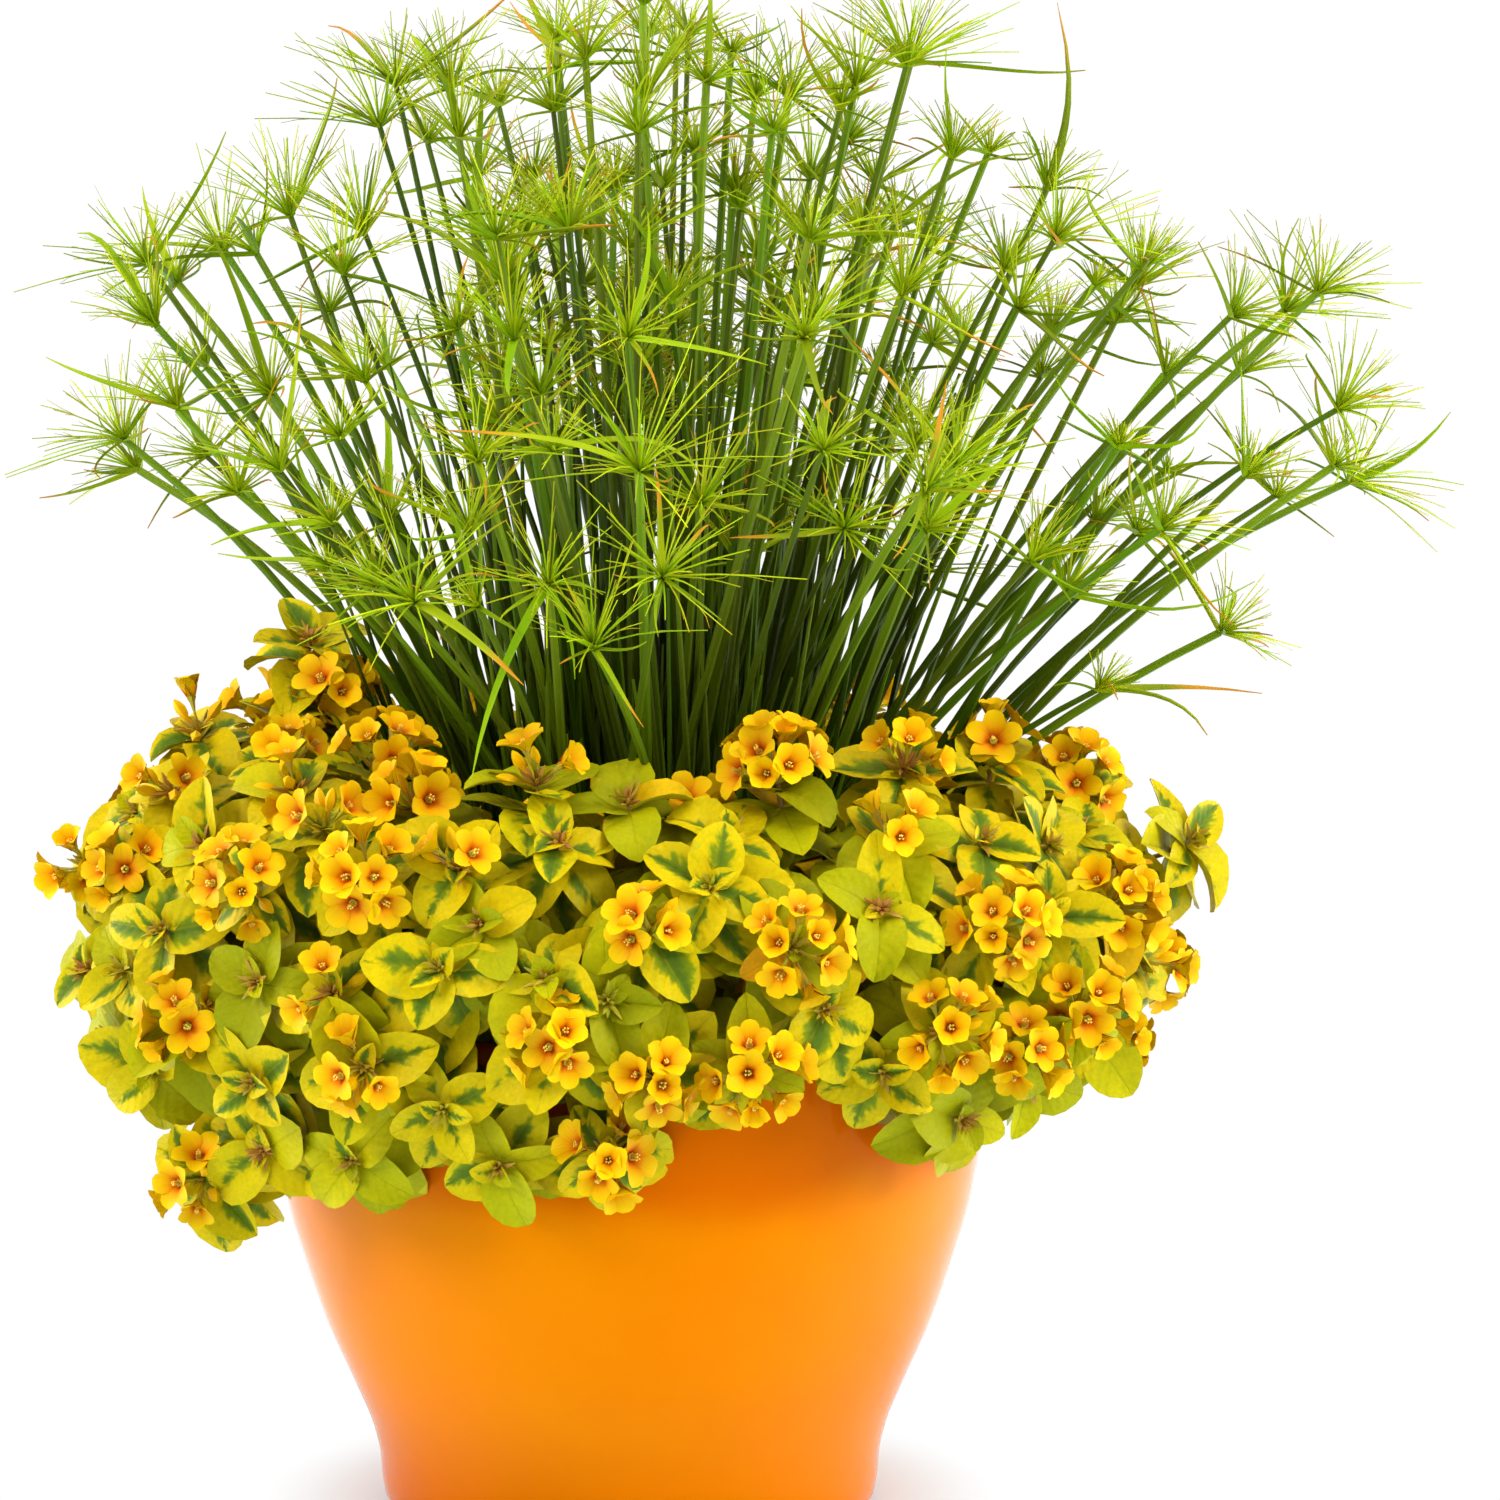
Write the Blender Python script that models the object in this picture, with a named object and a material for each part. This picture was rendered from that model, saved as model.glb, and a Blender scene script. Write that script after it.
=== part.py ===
"""A potted dwarf papyrus with a skirt of variegated creeping loosestrife round it, in a glazed pot.

Metres, +Z up. The origin is the centre of the pot's flat base, and -Y is the front. The pot, the
soil, the leading papyrus culms and their umbels are solids of their own. A sheaf stands for the
close inner culms that share one root, and a shoot for one leafy, flowering branch of loosestrife.
"""

import math

import bpy
from mathutils import Vector

# Driving dimensions
POT_HEIGHT = 0.205
POT_WALL = 0.006
POT_FLOOR = 0.008
RIM_ROUND = 0.003
INNER_CORNER = 0.004
FACETS = 48
FIT_GAP = 0.0004

SOIL_TOP = 0.184
SOIL_SETTLE = 0.006
SOIL_FLAT_EDGE = 0.012

CROWN = Vector((0.010, 0.0, SOIL_TOP + FIT_GAP))
CROWN_RADIUS = 0.060
STEEPEST_LEAN = 0.80
ARCH_UPRIGHT = 0.05
ARCH_LEANING = 0.25

CULM_RADIUS_FOOT = 0.0026
CULM_RADIUS_TIP = 0.0017
CULM_SIDES = 6
CULM_RINGS = 8
UMBEL_SIDES = 8
UMBEL_LIFT = 0.35
SHEAF_SIDES = 10
SHOOT_SIDES = 12

# An umbel's shape as (distance from the tip of its culm, radius), both as shares of its radius
UMBEL_SHAPE = ((0.00, 0.10), (0.32, 0.62), (0.76, 1.00), (1.05, 0.80))

# A sheaf's radius at even steps from the soil to its head, as shares of the head's radius
SHEAF_SWELL = (0.17, 0.21, 0.28, 0.39, 0.58, 0.84, 1.00, 0.64)

UP = Vector((0.0, 0.0, 1.0))

# Outer profile of the pot as (radius, height): a rounded foot, a slight waist, then a bell
POT_OUTLINE = (
    (0.0900, 0.000),
    (0.0940, 0.003),
    (0.0953, 0.008),
    (0.0965, 0.021),
    (0.0994, 0.033),
    (0.1064, 0.050),
    (0.1163, 0.073),
    (0.1245, 0.097),
    (0.1305, 0.117),
    (0.1345, 0.138),
    (0.1375, 0.164),
    (0.1395, 0.186),
    (0.1405, POT_HEIGHT - RIM_ROUND),
)

# Where each leading culm ends, as (x, y, z), and the radius of its umbel
LEADING_CULMS = (
    ((-0.190, 0.005, 0.410), 0.034),
    ((-0.172, -0.050, 0.458), 0.030),
    ((-0.155, 0.050, 0.478), 0.032),
    ((-0.092, 0.000, 0.528), 0.036),
    ((-0.014, -0.036, 0.555), 0.027),
    ((0.006, 0.036, 0.572), 0.032),
    ((0.108, 0.050, 0.550), 0.030),
    ((0.158, -0.055, 0.490), 0.032),
    ((0.195, 0.070, 0.462), 0.030),
    ((0.250, 0.035, 0.456), 0.030),
    ((0.264, -0.040, 0.426), 0.028),
    ((0.274, 0.020, 0.392), 0.034),
    ((0.008, -0.190, 0.420), 0.040),
    ((-0.070, -0.195, 0.375), 0.038),
    ((0.108, -0.165, 0.410), 0.036),
    ((-0.100, 0.185, 0.420), 0.034),
    ((0.020, 0.215, 0.400), 0.036),
    ((0.120, 0.180, 0.430), 0.034),
)

# Each sheaf's compass direction and tilt from upright in degrees, its length and its head's radius
SHEAVES = (
    (228, 21, 0.340, 0.044),
    (300, 21, 0.345, 0.046),
    (62, 22, 0.345, 0.042),
    (125, 22, 0.340, 0.046),
    (340, 7, 0.365, 0.030),
    (220, 42, 0.310, 0.046),
    (328, 40, 0.315, 0.046),
    (145, 39, 0.310, 0.046),
    (32, 39, 0.312, 0.042),
    (284, 41, 0.282, 0.036),
)

# Where a shoot leaves the soil, how thick it is there, and how far it stands off the rim
SHOOT_FOOT_RADIUS = 0.105
SHOOT_FOOT_SIZE = (0.012, 0.010)
SHOOT_NECK_SIZE = (0.022, 0.016)
SHOOT_OFF_RIM = 0.012
SHOOT_HALF_WIDTH = 0.048
SHOOT_HALF_DEPTH = 0.024
SHOOT_TIP_SIZE = (0.014, 0.006)

# Each shoot's direction in degrees from +X, how far out it reaches, its top and its lowest point
SHOOTS = (
    (0, 0.214, 0.270, 0.150),
    (36, 0.208, 0.284, 0.165),
    (72, 0.198, 0.286, 0.160),
    (108, 0.200, 0.286, 0.150),
    (144, 0.206, 0.290, 0.165),
    (180, 0.214, 0.294, 0.140),
    (216, 0.212, 0.290, 0.118),
    (252, 0.202, 0.284, 0.128),
    (288, 0.198, 0.282, 0.140),
    (324, 0.206, 0.280, 0.136),
)


def clear_scene():
    for old in list(bpy.data.objects):
        bpy.data.objects.remove(old)


def material(name, colour, roughness):
    """A plain Principled finish, with its colour as linear red, green and blue."""
    made = bpy.data.materials.new(name)
    made.use_nodes = True
    shader = made.node_tree.nodes["Principled BSDF"]
    shader.inputs["Base Color"].default_value = (*colour, 1.0)
    shader.inputs["Roughness"].default_value = roughness
    shader.inputs["Metallic"].default_value = 0.0
    made.diffuse_color = (*colour, 1.0)
    return made


def solid(name, points, faces, finish):
    mesh = bpy.data.meshes.new(name)
    mesh.from_pydata([tuple(p) for p in points], [], faces)
    mesh.materials.append(finish)
    mesh.shade_smooth()
    mesh.set_sharp_from_angle(angle=math.radians(35))
    made = bpy.data.objects.new(name, mesh)
    bpy.context.scene.collection.objects.link(made)
    return made


def skin_of(rings, sides):
    """Faces that join rings of points in order, with a flat cap on the first and the last."""
    faces = [tuple(reversed(range(sides)))]
    for ring in range(rings - 1):
        low, high = ring * sides, (ring + 1) * sides
        for k in range(sides):
            after = (k + 1) % sides
            faces.append((low + k, low + after, high + after, high + k))
    faces.append(tuple(range((rings - 1) * sides, rings * sides)))
    return faces


def turned(name, profile, finish):
    """A solid of revolution about Z from (radius, height) points, up the outside and down the inside."""
    points = []
    for radius, height in profile:
        for k in range(FACETS):
            angle = math.tau * k / FACETS
            points.append((radius * math.cos(angle), radius * math.sin(angle), height))
    return solid(name, points, skin_of(len(profile), FACETS), finish)


def lofted(name, centres, widths, heights, side, finish, sides):
    """A tube through centres. Each ring is an ellipse, widths along side and heights across it."""
    points = []
    last = len(centres) - 1
    for i, centre in enumerate(centres):
        along = (centres[min(i + 1, last)] - centres[max(i - 1, 0)]).normalized()
        across = along.cross(side).normalized()
        level = across.cross(along)
        for k in range(sides):
            angle = math.tau * k / sides
            offset = level * (widths[i] * math.cos(angle)) + across * (heights[i] * math.sin(angle))
            points.append(centre + offset)
    return solid(name, points, skin_of(len(centres), sides), finish)


def arched(foot, tip, arch, count):
    """Points on a curve from foot to tip that climbs first and leans out later, by arch."""
    run = tip - foot
    middle = foot + Vector((run.x * (0.5 - arch), run.y * (0.5 - arch), run.z * (0.5 + arch)))
    line = []
    for i in range(count):
        t = i / (count - 1)
        line.append(foot * (1 - t) ** 2 + middle * (2 * t * (1 - t)) + tip * t**2)
    return line


def arch_of(lean):
    """How far a culm bows: the upright ones are nearly straight and the leaning ones curve most."""
    return ARCH_UPRIGHT + ARCH_LEANING * (lean.x**2 + lean.y**2)


def foot_of(lean, radius):
    """Where a stem leaves the soil: the further it leans, the nearer the edge of the crown."""
    level = Vector((lean.x, lean.y, 0.0))
    return CROWN + level * (CROWN_RADIUS / STEEPEST_LEAN) + UP * (radius * level.length)


def across_of(lean):
    """A level direction square to the way a culm leans."""
    return Vector((-lean.y, lean.x, 0.0)).normalized()


def make_pot(finish):
    """One thrown shell with a flat base, a rounded foot and a softly rounded rim."""
    inner = [(r - POT_WALL, z) for r, z in POT_OUTLINE if z > POT_FLOOR + INNER_CORNER]
    rim_centre = POT_OUTLINE[-1][0] - POT_WALL / 2
    rim = []
    for step in range(1, 4):
        angle = math.pi * step / 4
        rim.append((rim_centre + POT_WALL / 2 * math.cos(angle),
                    POT_HEIGHT - RIM_ROUND + RIM_ROUND * math.sin(angle)))
    corner = [(inner[0][0] - INNER_CORNER / 4, POT_FLOOR + INNER_CORNER),
              (inner[0][0] - INNER_CORNER * 1.5, POT_FLOOR)]
    turned("pot", [*POT_OUTLINE, *rim, *reversed(inner), *corner], finish)


def make_soil(finish):
    """The root ball's potting soil, which fills the pot to a finger's width below the rim."""
    clear = POT_WALL + FIT_GAP
    side = [(r - clear, z) for r, z in POT_OUTLINE if POT_FLOOR + INNER_CORNER < z < SOIL_TOP]
    side[0] = (side[0][0] - INNER_CORNER / 4, side[0][1])
    foot = (side[0][0] - INNER_CORNER * 1.5, POT_FLOOR + FIT_GAP)
    brim = (side[-1][0] + FIT_GAP, SOIL_TOP - SOIL_SETTLE)
    crown = (CROWN_RADIUS + SOIL_FLAT_EDGE, SOIL_TOP)
    turned("potting_soil", [foot, *side, brim, crown], finish)


def make_culm(number, tip, umbel_radius, culm_finish, umbel_finish):
    """One leading culm and the umbel of rays and bracts at its tip."""
    tip = Vector(tip)
    lean = (tip - CROWN).normalized()
    line = arched(foot_of(lean, CULM_RADIUS_FOOT), tip, arch_of(lean), CULM_RINGS)
    taper = (CULM_RADIUS_TIP - CULM_RADIUS_FOOT) / (CULM_RINGS - 1)
    radii = [CULM_RADIUS_FOOT + taper * i for i in range(CULM_RINGS)]
    side = across_of(lean)
    lofted(f"papyrus_culm_{number:02d}", line, radii, radii, side, culm_finish, CULM_SIDES)

    facing = ((line[-1] - line[-2]).normalized() + UP * UMBEL_LIFT).normalized()
    base = tip + facing * (FIT_GAP + CULM_RADIUS_TIP)
    centres = [base + facing * (umbel_radius * far) for far, _ in UMBEL_SHAPE]
    widths = [umbel_radius * wide for _, wide in UMBEL_SHAPE]
    lofted(f"papyrus_umbel_{number:02d}", centres, widths, widths, side, umbel_finish, UMBEL_SIDES)


def make_sheaf(number, direction, tilt, length, head_radius, finish):
    """The close inner culms of one root: a slim bundle that opens into a rounded head of umbels."""
    turn, tilt = math.radians(direction), math.radians(tilt)
    lean = Vector((math.sin(tilt) * math.cos(turn), math.sin(tilt) * math.sin(turn), math.cos(tilt)))
    foot = foot_of(lean, head_radius * SHEAF_SWELL[0])
    line = arched(foot, foot + lean * length, arch_of(lean), len(SHEAF_SWELL))
    radii = [head_radius * share for share in SHEAF_SWELL]
    lofted(f"papyrus_sheaf_{number:02d}", line, radii, radii, across_of(lean), finish, SHEAF_SIDES)


def make_shoot(number, direction, reach, top, low, finish):
    """One branch of loosestrife: it rises from the soil, crosses the rim and hangs outside the pot.

    Each ring is given as its radius from the pot's axis, its height, and its (half width, half depth).
    """
    angle = math.radians(direction)
    out = Vector((math.cos(angle), math.sin(angle), 0.0))
    side = Vector((-math.sin(angle), math.cos(angle), 0.0))
    foot = SHOOT_FOOT_RADIUS
    over_rim = POT_OUTLINE[-1][0] + SHOOT_OFF_RIM
    hang = reach - SHOOT_HALF_DEPTH
    wide, deep = SHOOT_HALF_WIDTH, SHOOT_HALF_DEPTH
    thick = (top - POT_HEIGHT) / 2 - FIT_GAP * 5
    rings = (
        (foot, SOIL_TOP + FIT_GAP, SHOOT_FOOT_SIZE),
        (foot + 0.003, POT_HEIGHT, SHOOT_NECK_SIZE),
        (foot + 0.018, top - thick * 1.2, (wide * 0.7, thick * 0.8)),
        (over_rim, top - thick, (wide * 0.95, thick)),
        (hang, top - thick * 1.35, (wide, deep * 1.1)),
        (hang, (top + low) / 2 - 0.012, (wide * 0.95, deep)),
        (hang - 0.004, low + 0.008, (wide * 0.6, deep * 0.6)),
        (hang - 0.006, low, SHOOT_TIP_SIZE),
    )
    centres = [out * radius + UP * height for radius, height, _ in rings]
    widths = [size[0] for _, _, size in rings]
    depths = [size[1] for _, _, size in rings]
    lofted(f"loosestrife_shoot_{number:02d}", centres, widths, depths, side, finish, SHOOT_SIDES)


def make_plant():
    clear_scene()
    glaze = material("orange_glaze", (0.95, 0.26, 0.004), 0.12)
    soil = material("potting_soil", (0.035, 0.022, 0.014), 0.95)
    culm = material("papyrus_culm", (0.07, 0.19, 0.015), 0.45)
    umbel = material("papyrus_umbel", (0.22, 0.42, 0.02), 0.50)
    leaf = material("loosestrife_leaf", (0.48, 0.52, 0.02), 0.50)

    make_pot(glaze)
    make_soil(soil)
    for number, (tip, umbel_radius) in enumerate(LEADING_CULMS, 1):
        make_culm(number, tip, umbel_radius, culm, umbel)
    for number, sheaf in enumerate(SHEAVES, 1):
        make_sheaf(number, *sheaf, culm)
    for number, shoot in enumerate(SHOOTS, 1):
        make_shoot(number, *shoot, leaf)


make_plant()
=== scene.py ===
# A dwarf papyrus and a skirt of variegated creeping loosestrife, planted together in a glazed pot.
# The pot comes first, then the soil, the papyrus, the loosestrife, and last the studio round it.
import math

import bpy
import numpy as np
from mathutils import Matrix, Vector


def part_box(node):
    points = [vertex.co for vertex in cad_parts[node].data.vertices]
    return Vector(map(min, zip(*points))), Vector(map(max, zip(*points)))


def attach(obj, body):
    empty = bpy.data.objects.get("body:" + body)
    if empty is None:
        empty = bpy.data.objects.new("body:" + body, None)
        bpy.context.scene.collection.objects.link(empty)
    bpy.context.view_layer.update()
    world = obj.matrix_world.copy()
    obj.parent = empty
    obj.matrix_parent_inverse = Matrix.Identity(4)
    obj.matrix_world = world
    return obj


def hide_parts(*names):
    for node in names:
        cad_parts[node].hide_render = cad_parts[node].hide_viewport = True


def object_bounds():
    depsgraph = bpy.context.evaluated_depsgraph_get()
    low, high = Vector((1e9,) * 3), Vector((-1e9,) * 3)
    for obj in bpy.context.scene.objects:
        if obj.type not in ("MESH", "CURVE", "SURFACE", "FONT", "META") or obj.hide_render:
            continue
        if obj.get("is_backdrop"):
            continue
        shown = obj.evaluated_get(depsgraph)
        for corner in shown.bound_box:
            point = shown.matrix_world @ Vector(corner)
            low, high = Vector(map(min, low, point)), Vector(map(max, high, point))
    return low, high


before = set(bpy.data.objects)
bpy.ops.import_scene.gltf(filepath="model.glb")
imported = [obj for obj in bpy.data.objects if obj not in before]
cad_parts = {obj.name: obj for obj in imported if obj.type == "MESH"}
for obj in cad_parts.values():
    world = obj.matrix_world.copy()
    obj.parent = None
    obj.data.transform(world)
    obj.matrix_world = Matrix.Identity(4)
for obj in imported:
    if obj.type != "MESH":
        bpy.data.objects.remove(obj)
cad_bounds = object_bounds()

# The pot: one thrown shell with a narrow rounded foot and a bell-shaped wall, in a clear, glossy
# orange glaze inside and out. Its outline is that of the CAD pot, as shares of its radius and height.
POT_OUTLINE = np.array([
    (0.641, 0.000), (0.669, 0.015), (0.678, 0.039), (0.687, 0.102), (0.708, 0.161), (0.757, 0.244),
    (0.828, 0.356), (0.886, 0.473), (0.929, 0.571), (0.957, 0.673), (0.979, 0.800), (0.993, 0.907),
    (1.000, 0.985)])
POT_WALL = 0.006
POT_FLOOR = 0.008
POT_SIDES = 112
LIP_STEPS = 12
UNDER_MARK = 20.0
GLAZE_ORANGE = (0.820, 0.240, 0.0001)
GLAZE_DEEP = (0.760, 0.180, 0.0001)
# the next two colours are painted shade, under the rim and at the foot
GLAZE_LEAF_SHADE = (0.660, 0.120, 0.0001)
GLAZE_FOOT_SHADE = (0.520, 0.098, 0.0001)
GLAZE_WAVER = 0.02
LEAF_SHADE_FROM = 0.142
LEAF_SHADE_TO = 0.166
FOOT_SHADE_FROM = 0.070
FOOT_SHADE_TO = -0.010
FOOT_SHADE_LEAN = 0.18


def through(points, steps):
    """A smooth line through points, steps to a stretch: cubics that share their slopes where they meet."""
    reach = np.concatenate([[0], np.cumsum(np.linalg.norm(np.diff(points, axis=0), axis=1))])
    slope = np.gradient(points, reach, axis=0)
    t = np.linspace(0, 1, steps, endpoint=False)[:, None]
    start, end = points[:-1, None], points[1:, None]
    gap = np.diff(reach)[:, None, None]
    line = start * (2 * t**3 - 3 * t**2 + 1) + end * (3 * t**2 - 2 * t**3)
    line = line + gap * (slope[:-1, None] * (t**3 - 2 * t**2 + t) + slope[1:, None] * (t**3 - t**2))
    return np.concatenate([line.reshape(-1, points.shape[1]), points[-1:]])


def circle(sides):
    """The angles of the corners of a circle, and the corners themselves at radius 1."""
    turn = np.linspace(0, math.tau, sides, endpoint=False)
    return turn, np.stack([np.cos(turn), np.sin(turn)], -1)


def tube_faces(rings, sides):
    """The faces of one closed tube: quads between its rings, and triangles to a pole at each end."""
    ring, side = np.meshgrid(np.arange(rings - 1) * sides, np.arange(sides), indexing="ij")
    after = (side + 1) % sides
    quads = np.stack([ring + side, ring + after, ring + sides + after, ring + sides + side], -1)
    side, after = side[0], after[0]
    first, last, top = rings * sides, rings * sides + 1, (rings - 1) * sides
    low = np.stack([np.full(sides, first), after, side], -1)
    high = np.stack([np.full(sides, last), top + side, top + after], -1)
    return quads.reshape(-1, 4), np.concatenate([low, high])


def labels(tone, across, along, under=0):
    """Each point's (across, along, tone): its place round the ring and up the tube, and the tube's number.

    The tone is from 0 to 1, and UNDER_MARK more on the points of a leaf's or a petal's lower side.
    """
    rings, sides = len(along), len(across)
    made = np.zeros((len(tone), rings * sides + 2, 3))
    made[:, :-2, 0] = np.tile(across, rings)
    made[:, :-2, 1] = np.repeat(along, sides)
    made[:, :-2, 2] = np.tile(UNDER_MARK * under * np.ones(sides), rings)
    made[:, -2, 1] = along[0]
    made[:, -1, 1] = along[-1]
    made[..., 2] += tone[:, None]
    return made


def part_of(shapes, tone, across, along, finish, under=0):
    """One part of a piece: n tubes of one finish, each with a ring at every step of along."""
    return shapes, tube_faces(len(along), len(across)), labels(tone, across, along, under), finish


def piece(name, parts, nodes=(), sharp=60):
    """One object made of parts, each (points, faces, labels, material) for n shapes with the same faces."""
    mesh = bpy.data.meshes.new(name)
    points, marks, quads, tris, quad_slots, tri_slots = [], [], [], [], [], []
    start = 0
    for index, (shapes, faces, mark, finish) in enumerate(parts):
        mesh.materials.append(finish)
        count, size = shapes.shape[:2]
        shift = (start + size * np.arange(count))[:, None, None]
        quads.append((faces[0][None] + shift).reshape(-1, 4))
        tris.append((faces[1][None] + shift).reshape(-1, 3))
        quad_slots.append(np.full(len(quads[-1]), index))
        tri_slots.append(np.full(len(tris[-1]), index))
        points.append(shapes.reshape(-1, 3))
        marks.append(mark.reshape(-1, 3))
        start += count * size
    points, quads, tris = np.concatenate(points), np.concatenate(quads), np.concatenate(tris)
    mesh.vertices.add(len(points))
    mesh.vertices.foreach_set("co", points.astype(np.float32).ravel())
    corners = np.concatenate([quads.ravel(), tris.ravel()])
    mesh.loops.add(len(corners))
    mesh.loops.foreach_set("vertex_index", corners.astype(np.int32))
    starts = np.concatenate([4 * np.arange(len(quads)), quads.size + 3 * np.arange(len(tris))])
    mesh.polygons.add(len(starts))
    mesh.polygons.foreach_set("loop_start", starts.astype(np.int32))
    mesh.polygons.foreach_set("material_index", np.concatenate(quad_slots + tri_slots).astype(np.int32))
    mesh.update(calc_edges=True)
    growth = mesh.attributes.new("growth", "FLOAT_VECTOR", "POINT")
    growth.data.foreach_set("vector", np.concatenate(marks).astype(np.float32).ravel())
    mesh.shade_smooth()
    mesh.set_sharp_from_angle(angle=math.radians(sharp))
    made = bpy.data.objects.new(name, mesh)
    bpy.context.scene.collection.objects.link(made)
    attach(made, "root")
    if nodes:
        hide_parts(*nodes)
    return made


def put(tree, kind, feeds=(), **settings):
    """A new node. Its settings go in by name, and its feeds by input: a value, or an output to link."""
    made = tree.nodes.new(kind)
    for key, value in settings.items():
        setattr(made, key, value)
    for key, value in dict(feeds).items():
        if isinstance(value, bpy.types.NodeSocket):
            tree.links.new(value, made.inputs[key])
        else:
            made.inputs[key].default_value = value
    return made


def sums(tree, operation, first, second=0.0, third=0.0):
    """The result of one Math node."""
    return put(tree, "ShaderNodeMath", {0: first, 1: second, 2: third}, operation=operation).outputs[0]


def blended(tree, share, first, second):
    """first where share is 0 and second where it is 1. Colours are linear red, green and blue."""
    feeds = {0: share}
    for place, colour in ((6, first), (7, second)):
        feeds[place] = colour if isinstance(colour, bpy.types.NodeSocket) else (*colour, 1.0)
    return put(tree, "ShaderNodeMix", feeds, data_type="RGBA").outputs[2]


def ramped(tree, value, low, high, kind="LINEAR"):
    """0 where value is low or beyond it, 1 where it is high, and a slope between them."""
    feeds = {"Value": value, "From Min": low, "From Max": high}
    return put(tree, "ShaderNodeMapRange", feeds, interpolation_type=kind).outputs[0]


def finish_of(name, roughness, specular, tint=(1.0, 1.0, 1.0)):
    """A new material, its tree and its Principled shader. The tint colours its gloss."""
    made = bpy.data.materials.new(name)
    made.use_nodes = True
    shader = made.node_tree.nodes["Principled BSDF"]
    shader.inputs["Roughness"].default_value = roughness
    shader.inputs["Specular IOR Level"].default_value = specular
    shader.inputs["Specular Tint"].default_value = (*tint, 1.0)
    return made, made.node_tree, shader


def group_of(name, inputs, outputs):
    """A new shader node group with named inputs (name, default) and outputs, and its two end nodes."""
    tree = bpy.data.node_groups.new(name, "ShaderNodeTree")
    for label, default in inputs:
        socket = tree.interface.new_socket(label, in_out="INPUT", socket_type="NodeSocketFloat")
        socket.default_value = default
    for label in outputs:
        tree.interface.new_socket(label, in_out="OUTPUT", socket_type="NodeSocketFloat")
    return tree, tree.nodes.new("NodeGroupInput"), tree.nodes.new("NodeGroupOutput")


def use(tree, group, **feeds):
    """A group placed in a tree with its own values."""
    made = tree.nodes.new("ShaderNodeGroup")
    made.node_tree = group
    for key, value in feeds.items():
        if isinstance(value, bpy.types.NodeSocket):
            tree.links.new(value, made.inputs[key])
        else:
            made.inputs[key].default_value = value
    return made


# Mottle, for glaze, soil and leaf alike: soft patches on the surface, and a finer height for bumps.
mottle, mottle_in, mottle_out = group_of(
    "mottle", [("Scale", 40.0), ("Sharpness", 1.0)], ["Patch", "Height"])
place = put(mottle, "ShaderNodeTexCoord").outputs["Object"]
coarse = put(mottle, "ShaderNodeTexNoise",
             {"Vector": place, "Scale": mottle_in.outputs["Scale"], "Detail": 3.0, "Roughness": 0.6})
middle = sums(mottle, "SUBTRACT", coarse.outputs["Fac"], 0.5)
spread = sums(mottle, "MULTIPLY_ADD", middle, mottle_in.outputs["Sharpness"], 0.5)
patch = put(mottle, "ShaderNodeClamp", {"Value": spread}).outputs[0]
finer = sums(mottle, "MULTIPLY", mottle_in.outputs["Scale"], 6.0)
fine = put(mottle, "ShaderNodeTexNoise", {"Vector": place, "Scale": finer, "Detail": 2.0})
mottle.links.new(patch, mottle_out.inputs["Patch"])
mottle.links.new(fine.outputs["Fac"], mottle_out.inputs["Height"])


def roughened(tree, shader, height, strength, distance):
    """Lets a height stand on the surface as a bump."""
    bump = put(tree, "ShaderNodeBump", {"Height": height, "Strength": strength, "Distance": distance})
    tree.links.new(bump.outputs["Normal"], shader.inputs["Normal"])


glaze, tree, shader = finish_of("orange_glaze", 0.11, 0.15, (1.0, 0.50, 0.002))
cloud = use(tree, mottle, Scale=9.0, Sharpness=1.6).outputs["Patch"]
coat = blended(tree, cloud, GLAZE_ORANGE, GLAZE_DEEP)
# painted shade: the glaze darkens towards the foot, more on the left than on the right, where less light falls;
# and it darkens under the rim, as painted shade and reflection of the leaves that hang over it
spot = put(tree, "ShaderNodeSeparateXYZ", {0: put(tree, "ShaderNodeTexCoord").outputs["Object"]})
leaning = sums(tree, "MULTIPLY_ADD", spot.outputs["X"], FOOT_SHADE_LEAN, spot.outputs["Z"])
low_down = sums(tree, "MULTIPLY_ADD", cloud, GLAZE_WAVER, leaning)
coat = blended(tree, ramped(tree, low_down, FOOT_SHADE_FROM, FOOT_SHADE_TO, "SMOOTHSTEP"), coat, GLAZE_FOOT_SHADE)
high_up = sums(tree, "MULTIPLY_ADD", cloud, GLAZE_WAVER, spot.outputs["Z"])
coat = blended(tree, ramped(tree, high_up, LEAF_SHADE_FROM, LEAF_SHADE_TO, "SMOOTHSTEP"), coat, GLAZE_LEAF_SHADE)
tree.links.new(coat, shader.inputs["Base Color"])
orange_peel = use(tree, mottle, Scale=70.0, Sharpness=1.0).outputs["Patch"]
tree.links.new(sums(tree, "MULTIPLY_ADD", orange_peel, 0.07, 0.085), shader.inputs["Roughness"])
roughened(tree, shader, orange_peel, 0.25, 0.0006)

pot_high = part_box("pot")[1]
outer = through(POT_OUTLINE * (pot_high.x, pot_high.z), 4)
lip_radius = POT_WALL / 2
lip_turn = np.linspace(0, math.pi, LIP_STEPS)[1:-1, None]
lip = np.concatenate([
    outer[-1, 0] - lip_radius + lip_radius * np.cos(lip_turn),
    outer[-1, 1] + (pot_high.z - outer[-1, 1]) * np.sin(lip_turn)], 1)
inner = outer[outer[:, 1] > POT_FLOOR * 1.5][::-1] - (POT_WALL, 0)
well = np.array([(inner[-1, 0] - 0.002, POT_FLOOR * 1.1), (inner[-1, 0] - 0.006, POT_FLOOR)])
foot_edge = np.array([(outer[0, 0] - 0.003, 0.0)])
pot_profile = np.concatenate([foot_edge, outer, lip, inner, well])
turn, ring = circle(POT_SIDES)
pot_rings = np.concatenate([
    pot_profile[:, None, :1] * ring, np.repeat(pot_profile[:, None, 1:], POT_SIDES, 1)], -1)
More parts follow.
